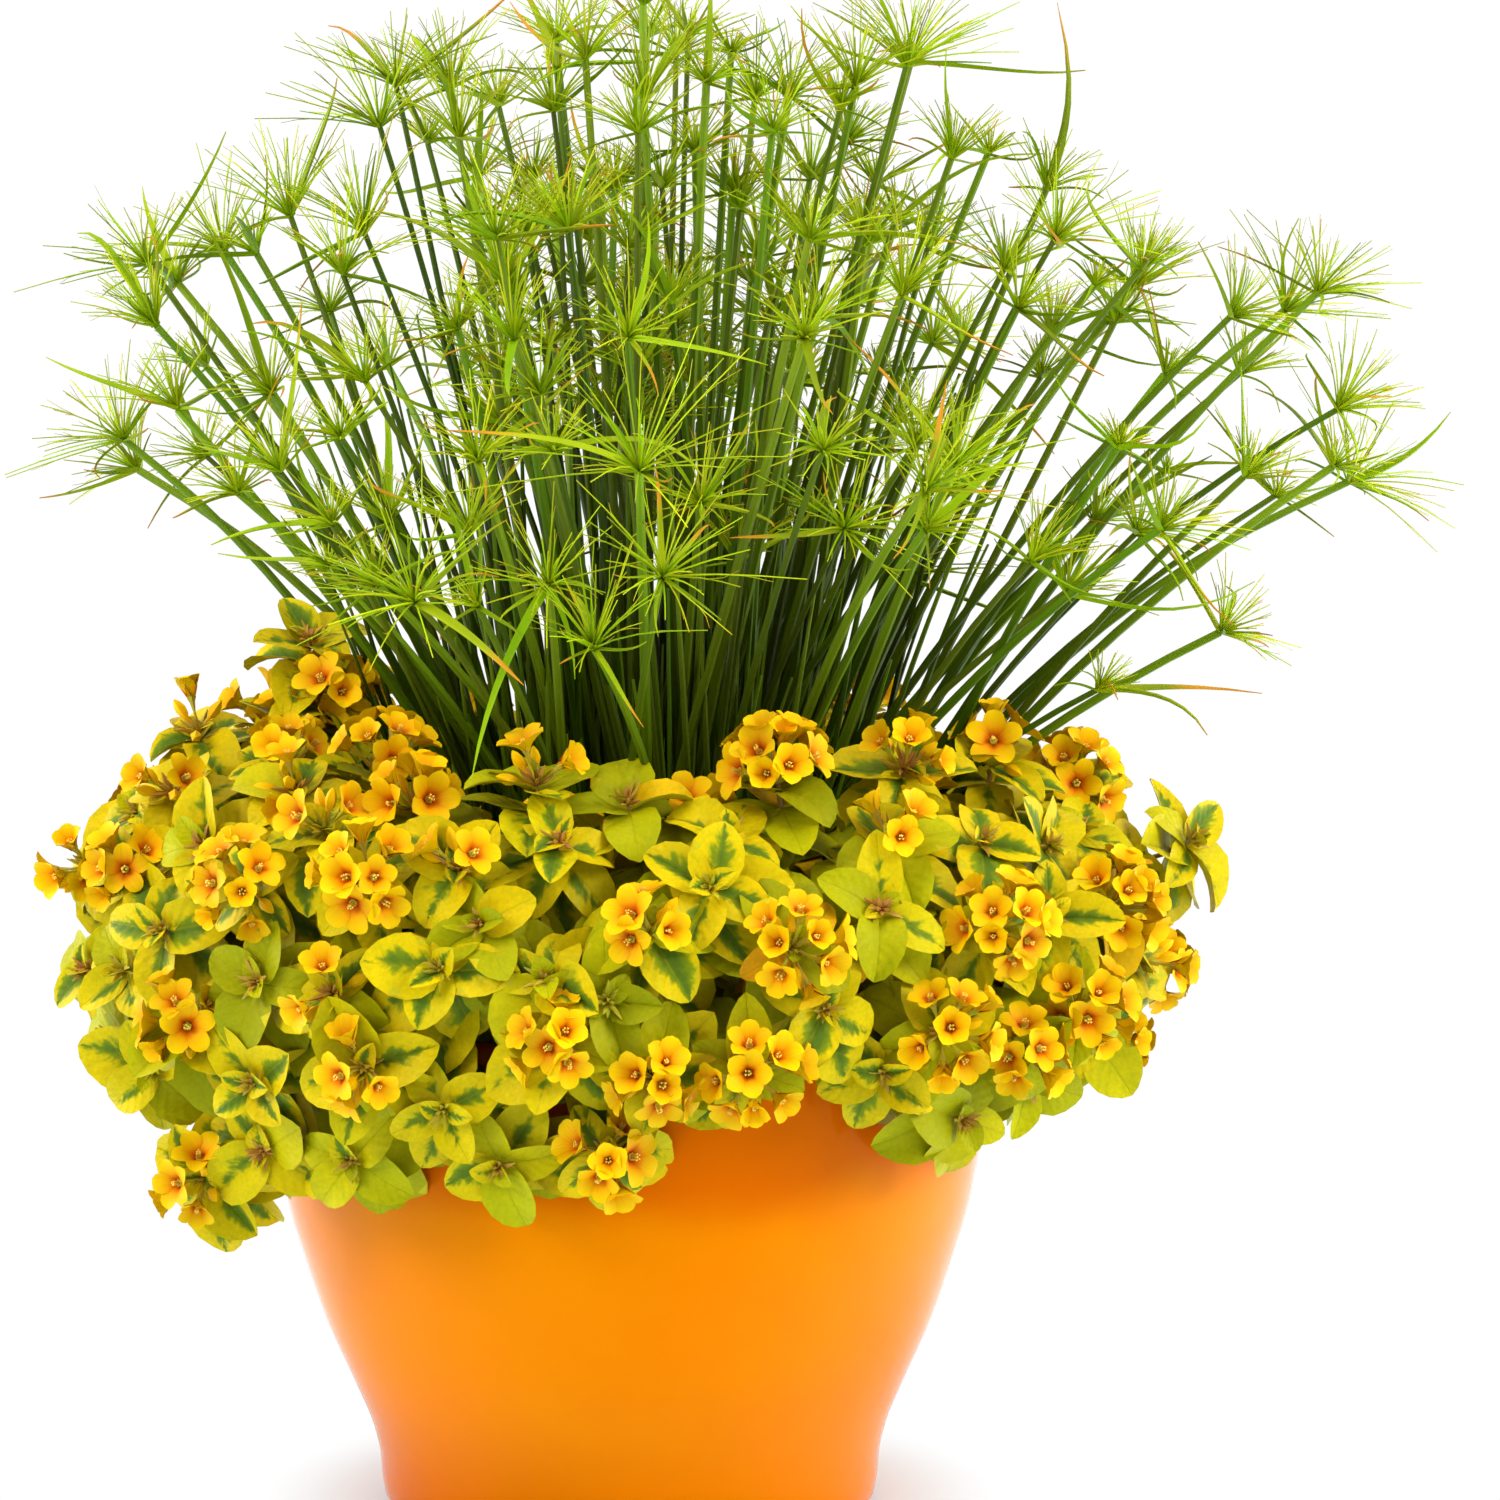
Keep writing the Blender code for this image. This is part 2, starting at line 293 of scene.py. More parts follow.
pot_poles = np.array([(0, 0, 0), (0, 0, POT_FLOOR)])
pot_points = np.concatenate([pot_rings.reshape(-1, 3), pot_poles])[None]
pot_part = part_of(pot_points, np.zeros(1), turn / math.tau, np.linspace(0, 1, len(pot_profile)), glaze)
piece("glazed_pot", [pot_part], ["pot"], 40)

# The soil: damp potting mix, dark and crumbly, with a few white grains of perlite. It is one body
# that fills the pot to a finger's width below the rim, and its top is lumpy.
SOIL_SIDES = 120
SOIL_RINGS = 44
SOIL_LUMP = 0.0016
SOIL_DOME = 0.006
SOIL_SKIRT = 0.012
SOIL_FOOT = 0.65
SOIL_DARK = (0.020, 0.012, 0.007)
SOIL_LIGHT = (0.085, 0.052, 0.030)
PERLITE = (0.62, 0.60, 0.55)

soil_finish, tree, shader = finish_of("potting_soil", 0.95, 0.2)
crumb = use(tree, mottle, Scale=140.0, Sharpness=2.2)
grit = put(tree, "ShaderNodeTexVoronoi", {
    "Vector": put(tree, "ShaderNodeTexCoord").outputs["Object"], "Scale": 160.0})
white = sums(tree, "LESS_THAN", grit.outputs["Distance"], 0.13)
earth = blended(tree, crumb.outputs["Patch"], SOIL_DARK, SOIL_LIGHT)
tree.links.new(blended(tree, white, earth, PERLITE), shader.inputs["Base Color"])
roughened(tree, shader, crumb.outputs["Height"], 0.8, 0.002)

soil_low, soil_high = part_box("potting_soil")
rng = np.random.default_rng(11)
share = np.linspace(1, 0.02, SOIL_RINGS)
turn, ring = circle(SOIL_SIDES)
height = soil_high.z - SOIL_DOME * share[:, None] ** 2 - SOIL_LUMP * rng.random((SOIL_RINGS, SOIL_SIDES))
top = np.concatenate([soil_high.x * share[:, None, None] * ring, height[..., None]], -1)
under = np.insert(SOIL_FOOT * soil_high.x * ring, 2, soil_low.z, 1)
skirt = top[0] - (0, 0, SOIL_SKIRT)
soil_poles = [(0, 0, soil_low.z), (0, 0, soil_high.z - 0.001)]
soil_points = np.concatenate([under, skirt, top.reshape(-1, 3), soil_poles])[None]
soil_part = part_of(
    soil_points, np.zeros(1), turn / math.tau, np.linspace(0, 1, SOIL_RINGS + 2), soil_finish)
piece("potting_mix", [soil_part], ["potting_soil"])

# The culms: stiff, smooth, three-cornered green stems, lighter towards the tip and near black at the soil,
# where the dark is painted shade of the crowded clump.
# The leading ones follow the CAD culms, and the rest of the clump stands between and behind them, each
# in the sheaf whose CAD solid it is nearest to.
CROWN = np.array([0.010, 0.0, soil_high.z])
CROWN_SPREAD = 0.075
CAMERA_TILT = math.radians(9.0)
CAMERA_AWAY = 2.4
AIM = np.array([0.0464, 0.0, 0.2921])
LEADING = 18
SHEAVES = 10
SHEAF_SIDES = 10
CULM_SIDES = 6
CULM_ROWS = 13
CULM_FOOT = 0.0021
CULM_TIP = 0.0014
YOUNG_CULMS = 210
YOUNG_TIP = 0.0006
CULM_CORNERS = np.array([1.0, 0.78] * 3)
UPRIGHT_CULMS = 60
BACKWARD_CULMS = 34
FORWARD_CULMS = 16
# the culms' green from foot to tip: near black at the foot as painted shade inside the clump, and paler upwards
# as their own colour
CULM_STOPS_WITH_SHADE = (
    (0.00, (0.0035, 0.0055, 0.0002)), (0.26, (0.021, 0.031, 0.0004)), (0.60, (0.057, 0.083, 0.0010)),
    (1.00, (0.142, 0.200, 0.007)))
PURE_GREEN = (0.66, 1.00, 0.60)

# Where the inner culms end: sideways, depth, and height as the front view shows it
INNER_TIPS = np.array([
    (-0.182, -0.020, 0.473), (-0.171, 0.040, 0.466), (-0.141, 0.020, 0.477), (-0.128, -0.030, 0.491),
    (-0.171, -0.060, 0.418), (-0.160, 0.020, 0.434), (-0.135, -0.070, 0.424), (-0.113, 0.060, 0.455),
    (-0.148, -0.090, 0.386), (-0.132, -0.110, 0.394), (-0.109, -0.100, 0.407), (-0.076, 0.050, 0.519),
    (-0.064, -0.040, 0.521), (-0.049, 0.070, 0.533), (-0.027, 0.010, 0.548), (0.004, -0.060, 0.523),
    (0.023, 0.070, 0.560), (0.030, -0.020, 0.542), (0.055, -0.050, 0.523), (0.081, -0.030, 0.532),
    (0.083, 0.060, 0.519), (0.106, -0.010, 0.548), (0.123, 0.010, 0.513), (0.137, 0.070, 0.515),
    (0.159, 0.030, 0.501), (0.195, -0.010, 0.471), (0.262, 0.010, 0.462), (0.229, -0.030, 0.453),
    (0.185, 0.060, 0.451), (0.148, -0.060, 0.456), (0.204, 0.040, 0.431), (0.157, 0.080, 0.430),
    (0.232, 0.060, 0.431), (0.186, -0.070, 0.403), (0.204, 0.030, 0.394), (0.234, -0.050, 0.392),
    (0.268, -0.010, 0.396), (0.246, 0.050, 0.385), (0.202, -0.080, 0.372), (0.177, 0.030, 0.375),
    (0.153, -0.100, 0.360), (0.166, -0.050, 0.348), (0.225, -0.030, 0.333), (0.178, -0.070, 0.311),
    (0.113, -0.140, 0.372), (-0.030, -0.170, 0.351), (-0.057, -0.160, 0.343), (-0.013, -0.190, 0.327),
    (0.013, -0.180, 0.354), (-0.060, -0.130, 0.371), (-0.057, -0.140, 0.398), (-0.095, -0.120, 0.351),
    (0.069, -0.080, 0.482), (0.067, -0.130, 0.445), (-0.043, -0.120, 0.444), (0.000, -0.140, 0.445),
    (-0.047, -0.080, 0.466), (-0.028, -0.150, 0.402), (0.104, -0.100, 0.461), (0.074, -0.150, 0.402),
    (-0.186, 0.030, 0.395), (-0.160, 0.090, 0.400), (0.040, 0.020, 0.500), (0.090, 0.000, 0.480),
    (-0.100, -0.020, 0.485), (-0.010, 0.050, 0.500)])

growth, _, growth_out = group_of("growth", [], ["Across", "Along", "Tone", "Chance", "Under"])
mark = put(growth, "ShaderNodeAttribute", attribute_name="growth").outputs["Vector"]
parts_of_mark = put(growth, "ShaderNodeSeparateXYZ", {0: mark})
below = sums(growth, "GREATER_THAN", parts_of_mark.outputs["Z"], 1.5)
own_tone = sums(growth, "MULTIPLY_ADD", below, -UNDER_MARK, parts_of_mark.outputs["Z"])
own_tone = sums(growth, "MAXIMUM", own_tone, 0.0)
growth.links.new(parts_of_mark.outputs["X"], growth_out.inputs["Across"])
growth.links.new(parts_of_mark.outputs["Y"], growth_out.inputs["Along"])
growth.links.new(own_tone, growth_out.inputs["Tone"])
chance = sums(growth, "FRACT", sums(growth, "MULTIPLY", own_tone, 9.7))
growth.links.new(chance, growth_out.inputs["Chance"])
growth.links.new(below, growth_out.inputs["Under"])

streaks, streaks_in, streaks_out = group_of("streaks", [("Around", 5.0), ("Length", 3.0)], ["Streak"])
own = use(streaks, growth)
flat = put(streaks, "ShaderNodeCombineXYZ", {
    0: sums(streaks, "MULTIPLY", own.outputs["Across"], streaks_in.outputs["Around"]),
    1: sums(streaks, "MULTIPLY", own.outputs["Along"], streaks_in.outputs["Length"]),
    2: sums(streaks, "MULTIPLY", own.outputs["Tone"], 40.0)})
grain = put(streaks, "ShaderNodeTexNoise", {"Vector": flat.outputs[0], "Scale": 1.0, "Detail": 2.0})
streaks.links.new(grain.outputs["Fac"], streaks_out.inputs["Streak"])


def graded(tree, value, stops):
    """A colour that goes through stops of (place, colour) as value goes from 0 to 1."""
    made = put(tree, "ShaderNodeValToRGB", {0: value})
    ramp = made.color_ramp
    while len(ramp.elements) < len(stops):
        ramp.elements.new(0.5)
    for stop, (place, colour) in zip(ramp.elements, stops):
        stop.position = place
        stop.color = (*colour, 1.0)
    return made.outputs[0]


def toned(tree, colour, shade):
    """A colour made lighter or darker by a factor."""
    return put(tree, "ShaderNodeVectorMath", {0: colour, 3: shade}, operation="SCALE").outputs[0]


def purer(tree, colour, share):
    """A green with less red and blue in it where share is 1, and as it was where share is 0."""
    pure = put(tree, "ShaderNodeVectorMath", {0: colour, 1: PURE_GREEN}, operation="MULTIPLY").outputs[0]
    return blended(tree, share, colour, pure)


culm_finish, tree, shader = finish_of("papyrus_culm", 0.48, 0.12, (0.85, 1.0, 0.30))
own = use(tree, growth)
line = use(tree, streaks, Around=9.0, Length=5.0)
lit = sums(tree, "MULTIPLY_ADD", own.outputs["Tone"], 1.15, 0.36)
lit = sums(tree, "MULTIPLY", lit, sums(tree, "MULTIPLY_ADD", line.outputs["Streak"], 0.8, 0.6))
green = graded(tree, own.outputs["Along"], CULM_STOPS_WITH_SHADE)
green = purer(tree, green, own.outputs["Chance"])
tree.links.new(toned(tree, green, lit), shader.inputs["Base Color"])
roughened(tree, shader, line.outputs["Streak"], 0.3, 0.0004)


def cad_points(node):
    """A CAD node's points, each once."""
    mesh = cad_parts[node].data
    points = np.empty(len(mesh.vertices) * 3)
    mesh.vertices.foreach_get("co", points)
    return np.unique(points.reshape(-1, 3).round(6), axis=0)


def centre_line(node, sides):
    """The middle of each ring of a CAD tube, nearest the crown first."""
    points = cad_points(node)
    away = np.linalg.norm(points - CROWN, axis=1)
    return points[np.argsort(away)].reshape(-1, sides, 3).mean(1)


def in_front_view(points):
    """Where the front view shows points: sideways and height, at the scale of the plane that it aims at."""
    behind = points[..., 1] * math.cos(CAMERA_TILT) - (points[..., 2] - AIM[2]) * math.sin(CAMERA_TILT)
    scale = CAMERA_AWAY / (CAMERA_AWAY + behind)
    rise = points[..., 1] * math.sin(CAMERA_TILT) + (points[..., 2] - AIM[2]) * math.cos(CAMERA_TILT)
    return AIM[0] + (points[..., 0] - AIM[0]) * scale, AIM[2] * math.cos(CAMERA_TILT) + rise * scale


def from_front(sideways, depth, height):
    """The point at that depth that the front view shows there."""
    point = np.stack([sideways, depth, height], -1)
    for _ in range(3):
        shown_sideways, shown_height = in_front_view(point)
        point = point + np.stack([sideways - shown_sideways, 0 * depth, height - shown_height], -1)
    return point


def arched(feet, tips, arch):
    """n curves (n, rows, 3): each climbs first and leans out later, the more so the larger its arch.

    Each is a parabola. The point that bends it lies halfway along the run, less the arch of it sideways
    and as much more of it in height.
    """
    run = tips - feet
    share = np.stack([0.5 - arch, 0.5 - arch, 0.5 + arch], -1)
    middle = feet + run * share
    t = np.linspace(0, 1, CULM_ROWS)[:, None]
    return feet[:, None] * (1 - t) ** 2 + middle[:, None] * (2 * t * (1 - t)) + tips[:, None] * t**2


def unit(vectors):
    """The same directions, one long."""
    return vectors / np.linalg.norm(vectors, axis=-1, keepdims=True)


def tubes(paths, sections, side):
    """n closed tubes, as (n, k, 3) points.

    A ring is its section's (x, y) offsets from the path: x goes along the side direction, made square
    to the path, and y along the path's own direction crossed with it. The path's ends are the poles.
    """
    along = unit(np.gradient(paths, axis=1))
    first = unit(side - (side * along).sum(-1, keepdims=True) * along)
    second = np.cross(along, first)
    rings = (paths[:, :, None] + sections[..., :1] * first[:, :, None]
             + sections[..., 1:] * second[:, :, None])
    return np.concatenate([rings.reshape(len(paths), -1, 3), paths[:, :1], paths[:, -1:]], 1)


def culms(paths, tone, tip=CULM_TIP):
    """Closed stems along paths: rounded triangles that taper from the foot to the tip."""
    turn, ring = circle(CULM_SIDES)
    corner = CULM_CORNERS[:, None] * ring
    taper = np.linspace(CULM_FOOT, tip, paths.shape[1])[:, None, None]
    thick = (0.80 + 0.46 * tone)[:, None, None, None]
    side = np.cross(paths[:, -1] - paths[:, 0], (0.31, 0.93, 0.17))[:, None]
    along = np.linspace(0, 1, paths.shape[1])
    shapes = tubes(paths, thick * (taper * corner)[None], side)
    return part_of(shapes, tone, turn / math.tau, along, culm_finish)


rng = np.random.default_rng(21)
leading_paths = []
for number in range(1, LEADING + 1):
    line = through(centre_line(f"papyrus_culm_{number:02d}", CULM_SIDES), 2)
    leading_paths.append(line)
    piece(f"culm_{number:02d}", [culms(line[None], rng.random(1))],
          [f"papyrus_culm_{number:02d}"])

# the upright ones behind them end under the clump's dome, others lean out to the back, and the last
# stand low in front, where some cross over from the far side of the clump
sideways = np.clip(rng.normal(0.012, 0.058, UPRIGHT_CULMS), -0.125, 0.135)
height = 0.560 - 2.4 * sideways**2 - 0.20 * rng.random(UPRIGHT_CULMS) ** 1.2
upright_tips = from_front(sideways, rng.uniform(-0.03, 0.12, UPRIGHT_CULMS), height)
turn = rng.normal(math.pi / 2, 0.65, BACKWARD_CULMS)
lean = np.radians(rng.uniform(16, 46, BACKWARD_CULMS))
length = rng.uniform(0.26, 0.34, BACKWARD_CULMS)
backward_tips = CROWN + length[:, None] * np.stack(
    [np.sin(lean) * np.cos(turn), np.sin(lean) * np.sin(turn), np.cos(lean)], -1)
sideways = rng.uniform(-0.115, 0.140, FORWARD_CULMS)
forward_tips = from_front(
    sideways, rng.uniform(-0.13, -0.05, FORWARD_CULMS), rng.uniform(0.35, 0.50, FORWARD_CULMS))
tips = np.concatenate([from_front(*INNER_TIPS.T), upright_tips, backward_tips, forward_tips])
ways = unit(tips - CROWN)
level = ways * (1, 1, 0)
spread = CROWN_SPREAD * rng.uniform(0.25, 1.15, (len(tips), 1))
spread[-FORWARD_CULMS:] = CROWN_SPREAD * rng.uniform(-0.8, 0.9, (FORWARD_CULMS, 1))
feet = CROWN + level * spread + rng.normal(0, 0.017, tips.shape) * (1, 1, 0) - (0, 0, 0.003)
bowed = np.clip(0.02 + 0.20 * (level**2).sum(1) + rng.normal(0, 0.035, len(tips)), -0.02, 0.3)
inner_paths = arched(feet, tips, bowed)
# young culms, still short and pointed, fill the foot of the clump between the grown ones
turn = rng.uniform(0, math.tau, YOUNG_CULMS)
spread = 0.070 * np.sqrt(rng.random(YOUNG_CULMS))
young_feet = CROWN + np.stack([spread * np.cos(turn), spread * np.sin(turn), 0 * turn - 0.003], -1)
rise = rng.uniform(0.09, 0.27, YOUNG_CULMS)
out = (0.5 + 2.6 * rise) * spread * (1 + 0.8 * np.minimum(np.sin(turn), 0))
young_tips = young_feet + np.stack([out * np.cos(turn), out * np.sin(turn), rise], -1)
young_tips = young_tips + rise[:, None] * rng.normal(0, 0.09, young_tips.shape) * (1, 1, 0)
young_paths = arched(young_feet, young_tips, np.full(YOUNG_CULMS, 0.06))
# their darker tones are painted shade at the foot of the clump
young_shade_tone = 0.60 * rng.random(YOUNG_CULMS)
sheaf_ways = np.array([unit(centre_line(f"papyrus_sheaf_{k:02d}", SHEAF_SIDES)[-1] - CROWN)
                       for k in range(1, SHEAVES + 1)])
sheaf_of = (ways @ sheaf_ways.T).argmax(1)
young_of = (unit(young_tips - CROWN) @ sheaf_ways.T).argmax(1)
tone = rng.random(len(tips))
for number in range(1, SHEAVES + 1):
    mine, young = sheaf_of == number - 1, young_of == number - 1
    piece(f"culm_sheaf_{number:02d}",
          [culms(inner_paths[mine], tone[mine]), culms(young_paths[young], young_shade_tone[young], YOUNG_TIP)],
          [f"papyrus_sheaf_{number:02d}"])

# The umbels: at each tip a burst of fine rays that bow outwards and fork once near the end, with short
# spikelets in the middle and a few long leaf-like bracts, folded along the keel, with dry orange ends.
RAYS = 30
RAY_SIDES = 3
RAY_ROWS = 5
RAY_OPENING = math.radians(56)
RAY_ROOT = 0.00046
RAY_END = 0.00021
FORK_FROM = 0.60
THREAD_END = 0.00010
THREAD_ROWS = 3
SPIKELETS = 9
SPIKELET_OPENING = math.radians(46)
SPIKELET_ROOT = 0.0006
BRACTS = 5
BRACT_ROWS = 9
BRACT_LENGTH = 0.030
BRACT_HALF_WIDTH = 0.0016
BRACT_THICK = 0.0003
GOLDEN_TURN = math.pi * (3 - math.sqrt(5))
RAY_STOPS = ((0.0, (0.245, 0.305, 0.002)), (0.4, (0.360, 0.400, 0.003)), (0.8, (0.425, 0.430, 0.008)),
             (1.0, (0.540, 0.320, 0.025)))
BRACT_STOPS = ((0.0, (0.310, 0.365, 0.005)), (0.5, (0.210, 0.270, 0.003)), (1.0, (0.335, 0.350, 0.006)))
DRY_TIP = (0.460, 0.205, 0.012)


def green_finish(name, stops, dry_from, roughness):
    """A green that changes along the shape, paler or darker by its tone, with a dry end on some."""
    made, tree, shader = finish_of(name, roughness, 0.14, (0.9, 1.0, 0.35))
    own = use(tree, growth)
    green = purer(tree, graded(tree, own.outputs["Along"], stops), own.outputs["Chance"])
    fresh = toned(tree, green, sums(tree, "MULTIPLY_ADD", own.outputs["Tone"], 0.7, 0.70))
    start = sums(tree, "MULTIPLY_ADD", own.outputs["Chance"], 0.9, dry_from)
    dry = ramped(tree, sums(tree, "SUBTRACT", own.outputs["Along"], start), 0.0, 0.18)
    tree.links.new(blended(tree, dry, fresh, DRY_TIP), shader.inputs["Base Color"])
    return made


ray_finish = green_finish("papyrus_ray", RAY_STOPS, 0.74, 0.5)
bract_finish = green_finish("papyrus_bract", BRACT_STOPS, 0.52, 0.45)


def square_to(axes):
    """Two directions square to each axis and to each other."""
    first = unit(np.cross(axes, (0.36, 0.48, 0.80)))
    return first, np.cross(axes, first)


def fanned(axes, opening, turn):
    """Directions that open from each axis by one angle and go round it by another."""
    first, second = square_to(axes)
    out = np.cos(turn)[..., None] * first[:, None] + np.sin(turn)[..., None] * second[:, None]
    wide = opening[..., None]
    return np.cos(wide) * axes[:, None] + np.sin(wide) * out


def needles(starts, ways, length, bow, root, end, rows, belly=0.0):
    """Thin three-sided spikes: straight along their ways, bent by bow as the square of the distance.

    Their radius goes evenly from root to end, with a belly that is fullest halfway up.
    """
    s = np.linspace(0, 1, rows)[:, None]
    paths = starts[:, None] + length[:, None, None] * (ways[:, None] * s + bow[:, None] * s**2)
    ring = circle(RAY_SIDES)[1]
    taper = (root + (end - root) * s + 4 * belly * s * (1 - s))[..., None]
    side = np.cross(ways, (0.6, -0.5, 0.62))[:, None]
    return tubes(paths, (taper * ring)[None], side)


def umbel_parts(tips, axes, sizes, rng):
    """The rays, their threads, the spikelets and the bracts of n umbels, which open from the tips.

    Rays and spikelets go round by the golden turn, and open as the square root of their place in the
    count, so that they share out the dome evenly. Bracts go round by equal turns.
    """
    count = len(tips)
    ray_turn = np.arange(RAY_SIDES) / RAY_SIDES
    openness = rng.uniform(0.62, 1.25, (count, 1))
    opening = RAY_OPENING * openness * np.sqrt((np.arange(RAYS) + 0.5) / RAYS)
    turn = GOLDEN_TURN * np.arange(RAYS) + rng.uniform(0, math.tau, (count, 1))
    ways = fanned(axes, opening * rng.uniform(0.85, 1.1, (count, RAYS)), turn).reshape(-1, 3)
    axis = np.repeat(axes, RAYS, 0)
    outward_way = ways - axis * (ways * axis).sum(-1, keepdims=True)
    length = (sizes[:, None] * rng.uniform(0.62, 1.08, (count, RAYS))).ravel()
    bow = outward_way * rng.uniform(0.06, 0.75, (len(ways), 1)) + rng.normal(0, 0.08, ways.shape)
    bow = bow + (0, 0, -0.05)
    starts = np.repeat(tips, RAYS, 0)
    tone = rng.random(len(ways))
    rays = part_of(needles(starts, ways, length, bow, RAY_ROOT, RAY_END, RAY_ROWS),
                   tone, ray_turn, np.linspace(0, 0.85, RAY_ROWS), ray_finish)

    fork = starts + length[:, None] * (ways * FORK_FROM + bow * FORK_FROM**2)
    onward = unit(ways + 2 * FORK_FROM * bow)
    fork_ways = unit(onward + rng.normal(0, 0.10, onward.shape))
    fork_length = length * rng.uniform(0.24, 0.48, len(fork_ways))
    fork_bow = rng.normal(0, 0.12, fork_ways.shape)
    threads = part_of(needles(fork, fork_ways, fork_length, fork_bow, RAY_END, THREAD_END, THREAD_ROWS),
                      tone, ray_turn, np.linspace(0.6, 1, THREAD_ROWS), ray_finish)

    opening = SPIKELET_OPENING * np.sqrt((np.arange(SPIKELETS) + 0.5) / SPIKELETS) * np.ones((count, 1))
    turn = GOLDEN_TURN * np.arange(SPIKELETS) + rng.uniform(0, math.tau, (count, 1))
    ways = fanned(axes, opening, turn).reshape(-1, 3)
    length = (sizes[:, None] * rng.uniform(0.14, 0.34, (count, SPIKELETS))).ravel()
    starts = np.repeat(tips, SPIKELETS, 0)
    spikelets = part_of(needles(starts, ways, length, ways * 0, SPIKELET_ROOT, RAY_END, THREAD_ROWS),
                        rng.random(len(ways)), ray_turn, np.linspace(0, 0.6, THREAD_ROWS), ray_finish)

    opening = np.radians(rng.uniform(24, 104, (count, BRACTS)))
    turn = math.tau * np.arange(BRACTS) / BRACTS + rng.uniform(0, math.tau, (count, 1))
    ways = fanned(axes, opening, turn + rng.normal(0, 0.35, turn.shape)).reshape(-1, 3)
    length = BRACT_LENGTH * rng.uniform(0.5, 1.0, (count, BRACTS))
    length[:, :2] *= rng.uniform(1.3, 2.5, (count, 2))
    length = length.ravel()
    s = np.linspace(0, 1, BRACT_ROWS)
    sag = rng.uniform(-0.22, 0.34, len(ways))[:, None] * (0, 0, -1) + rng.normal(0, 0.06, (len(ways), 3))
    curl = rng.normal(0, 0.11, (len(ways), 3))
    paths = np.repeat(tips, BRACTS, 0)[:, None] + length[:, None, None] * (
        ways[:, None] * s[:, None] + sag[:, None] * s[:, None] ** 2 + curl[:, None] * s[:, None] ** 5)
    half = BRACT_HALF_WIDTH * np.minimum(length / 0.045, 1.15)[:, None] * (1 - s**1.6) ** 0.8 + 0.0001
    across = np.array([1.0, 0.0, -1.0, 0.0])
    keel = np.array([-0.45, 0.25, -0.45, 0.0])
    under = np.array([0.0, 1.0, 0.0, 0.0])
    sections = np.stack([half[..., None] * across, half[..., None] * keel + BRACT_THICK * under], -1)
    side = np.cross(ways, np.repeat(axes, BRACTS, 0))[:, None]
    bracts = part_of(tubes(paths, sections, side), rng.random(len(ways)), across, s, bract_finish)
    return [rays, threads, spikelets, bracts]


rng = np.random.default_rng(31)
for number, line in enumerate(leading_paths, 1):
    node = f"papyrus_umbel_{number:02d}"
    points = cad_points(node)
    axis = unit(points.mean(0) - line[-1])[None]
    size = np.array([np.linalg.norm(points - line[-1], axis=1).max() * 0.80])
    piece(f"umbel_{number:02d}", umbel_parts(line[-1:], axis, size, rng), [node])

axes = unit(unit(inner_paths[:, -1] - inner_paths[:, -2]) + (0, 0, 0.30) + rng.normal(0, 0.14, tips.shape))
sizes = rng.uniform(0.020, 0.037, len(tips)) * np.where(np.abs(tips[:, 0]) > 0.13, 0.84, 1.0)
sizes = sizes * np.where(rng.random(len(tips)) < 0.16, 0.45, 1.0)
for number in range(1, SHEAVES + 1):
    mine = sheaf_of == number - 1
    piece(f"umbel_sheaf_{number:02d}", umbel_parts(inner_paths[mine, -1], axes[mine], sizes[mine], rng))

# The loosestrife's skirt: branches that leave the soil round the crown, cross the rim and hang over
# it. Their tips lie on a cushion whose reach, top and hem go round the pot as the CAD shoots do.
SHOOTS = 10
SKIRT_INSIDE = 0.088
SKIRT_OUTLINE = np.array([
    (0.00, 0.84), (0.30, 0.99), (0.58, 1.02), (0.80, 0.93), (0.94, 0.72), (1.00, 0.47), (0.97, 0.24),
    (0.84, 0.06)])
SKIRT_DRAW_IN = 0.016
SKIRT_HEM_UP = 0.034
FRONT_HEM_UP = 0.014
FRONT_HEM_TURN = math.radians(-68)
TIP_GAP = 0.032
DEEP_GAP = 0.036
DEEP_BY = 0.020
STEM_ROWS = 12
STEM_SIDES = 5
STEM_RADIUS = 0.0010
STEM_STOPS = ((0.0, (0.115, 0.060, 0.020)), (0.7, (0.260, 0.090, 0.035)), (1.0, (0.300, 0.200, 0.040)))

# The tips in front, as (sideways, height) in the front view, and how many open flowers show on each
FRONT_TIPS = (
    (-0.093, 0.279, 6), (-0.125, 0.290, 6), (-0.113, 0.306, 4), (-0.163, 0.295, 1), (-0.173, 0.272, 2),
    (-0.204, 0.244, 3), (-0.144, 0.236, 5), (-0.098, 0.238, 5), (-0.166, 0.184, 4), (-0.100, 0.168, 3),
    (-0.112, 0.196, 2), (-0.160, 0.126, 3), (-0.035, 0.275, 2), (-0.064, 0.243, 2), (0.057, 0.276, 9),
    (0.100, 0.252, 3), (0.105, 0.281, 3), (0.008, 0.219, 3), (0.062, 0.213, 5), (-0.026, 0.177, 4),
    (0.046, 0.167, 5), (-0.008, 0.135, 4), (0.139, 0.285, 3), (0.168, 0.273, 6), (0.140, 0.220, 7),
    (0.181, 0.228, 8), (0.170, 0.190, 5), (0.119, 0.181, 5), (0.097, 0.166, 0), (0.127, 0.148, 0),
    (-0.121, 0.330, 0), (0.038, 0.255, 0), (-0.026, 0.253, 0), (-0.031, 0.201, 0), (-0.056, 0.222, 0),
    (0.031, 0.236, 0), (-0.071, 0.205, 0), (0.096, 0.228, 0), (-0.142, 0.162, 0), (-0.070, 0.152, 0),
    (-0.049, 0.130, 0), (-0.008, 0.193, 0), (-0.161, 0.252, 0), (-0.196, 0.179, 0), (0.214, 0.254, 0),
    (-0.205, 0.205, 0), (0.000, 0.268, 0), (0.160, 0.252, 0), (0.075, 0.190, 0))

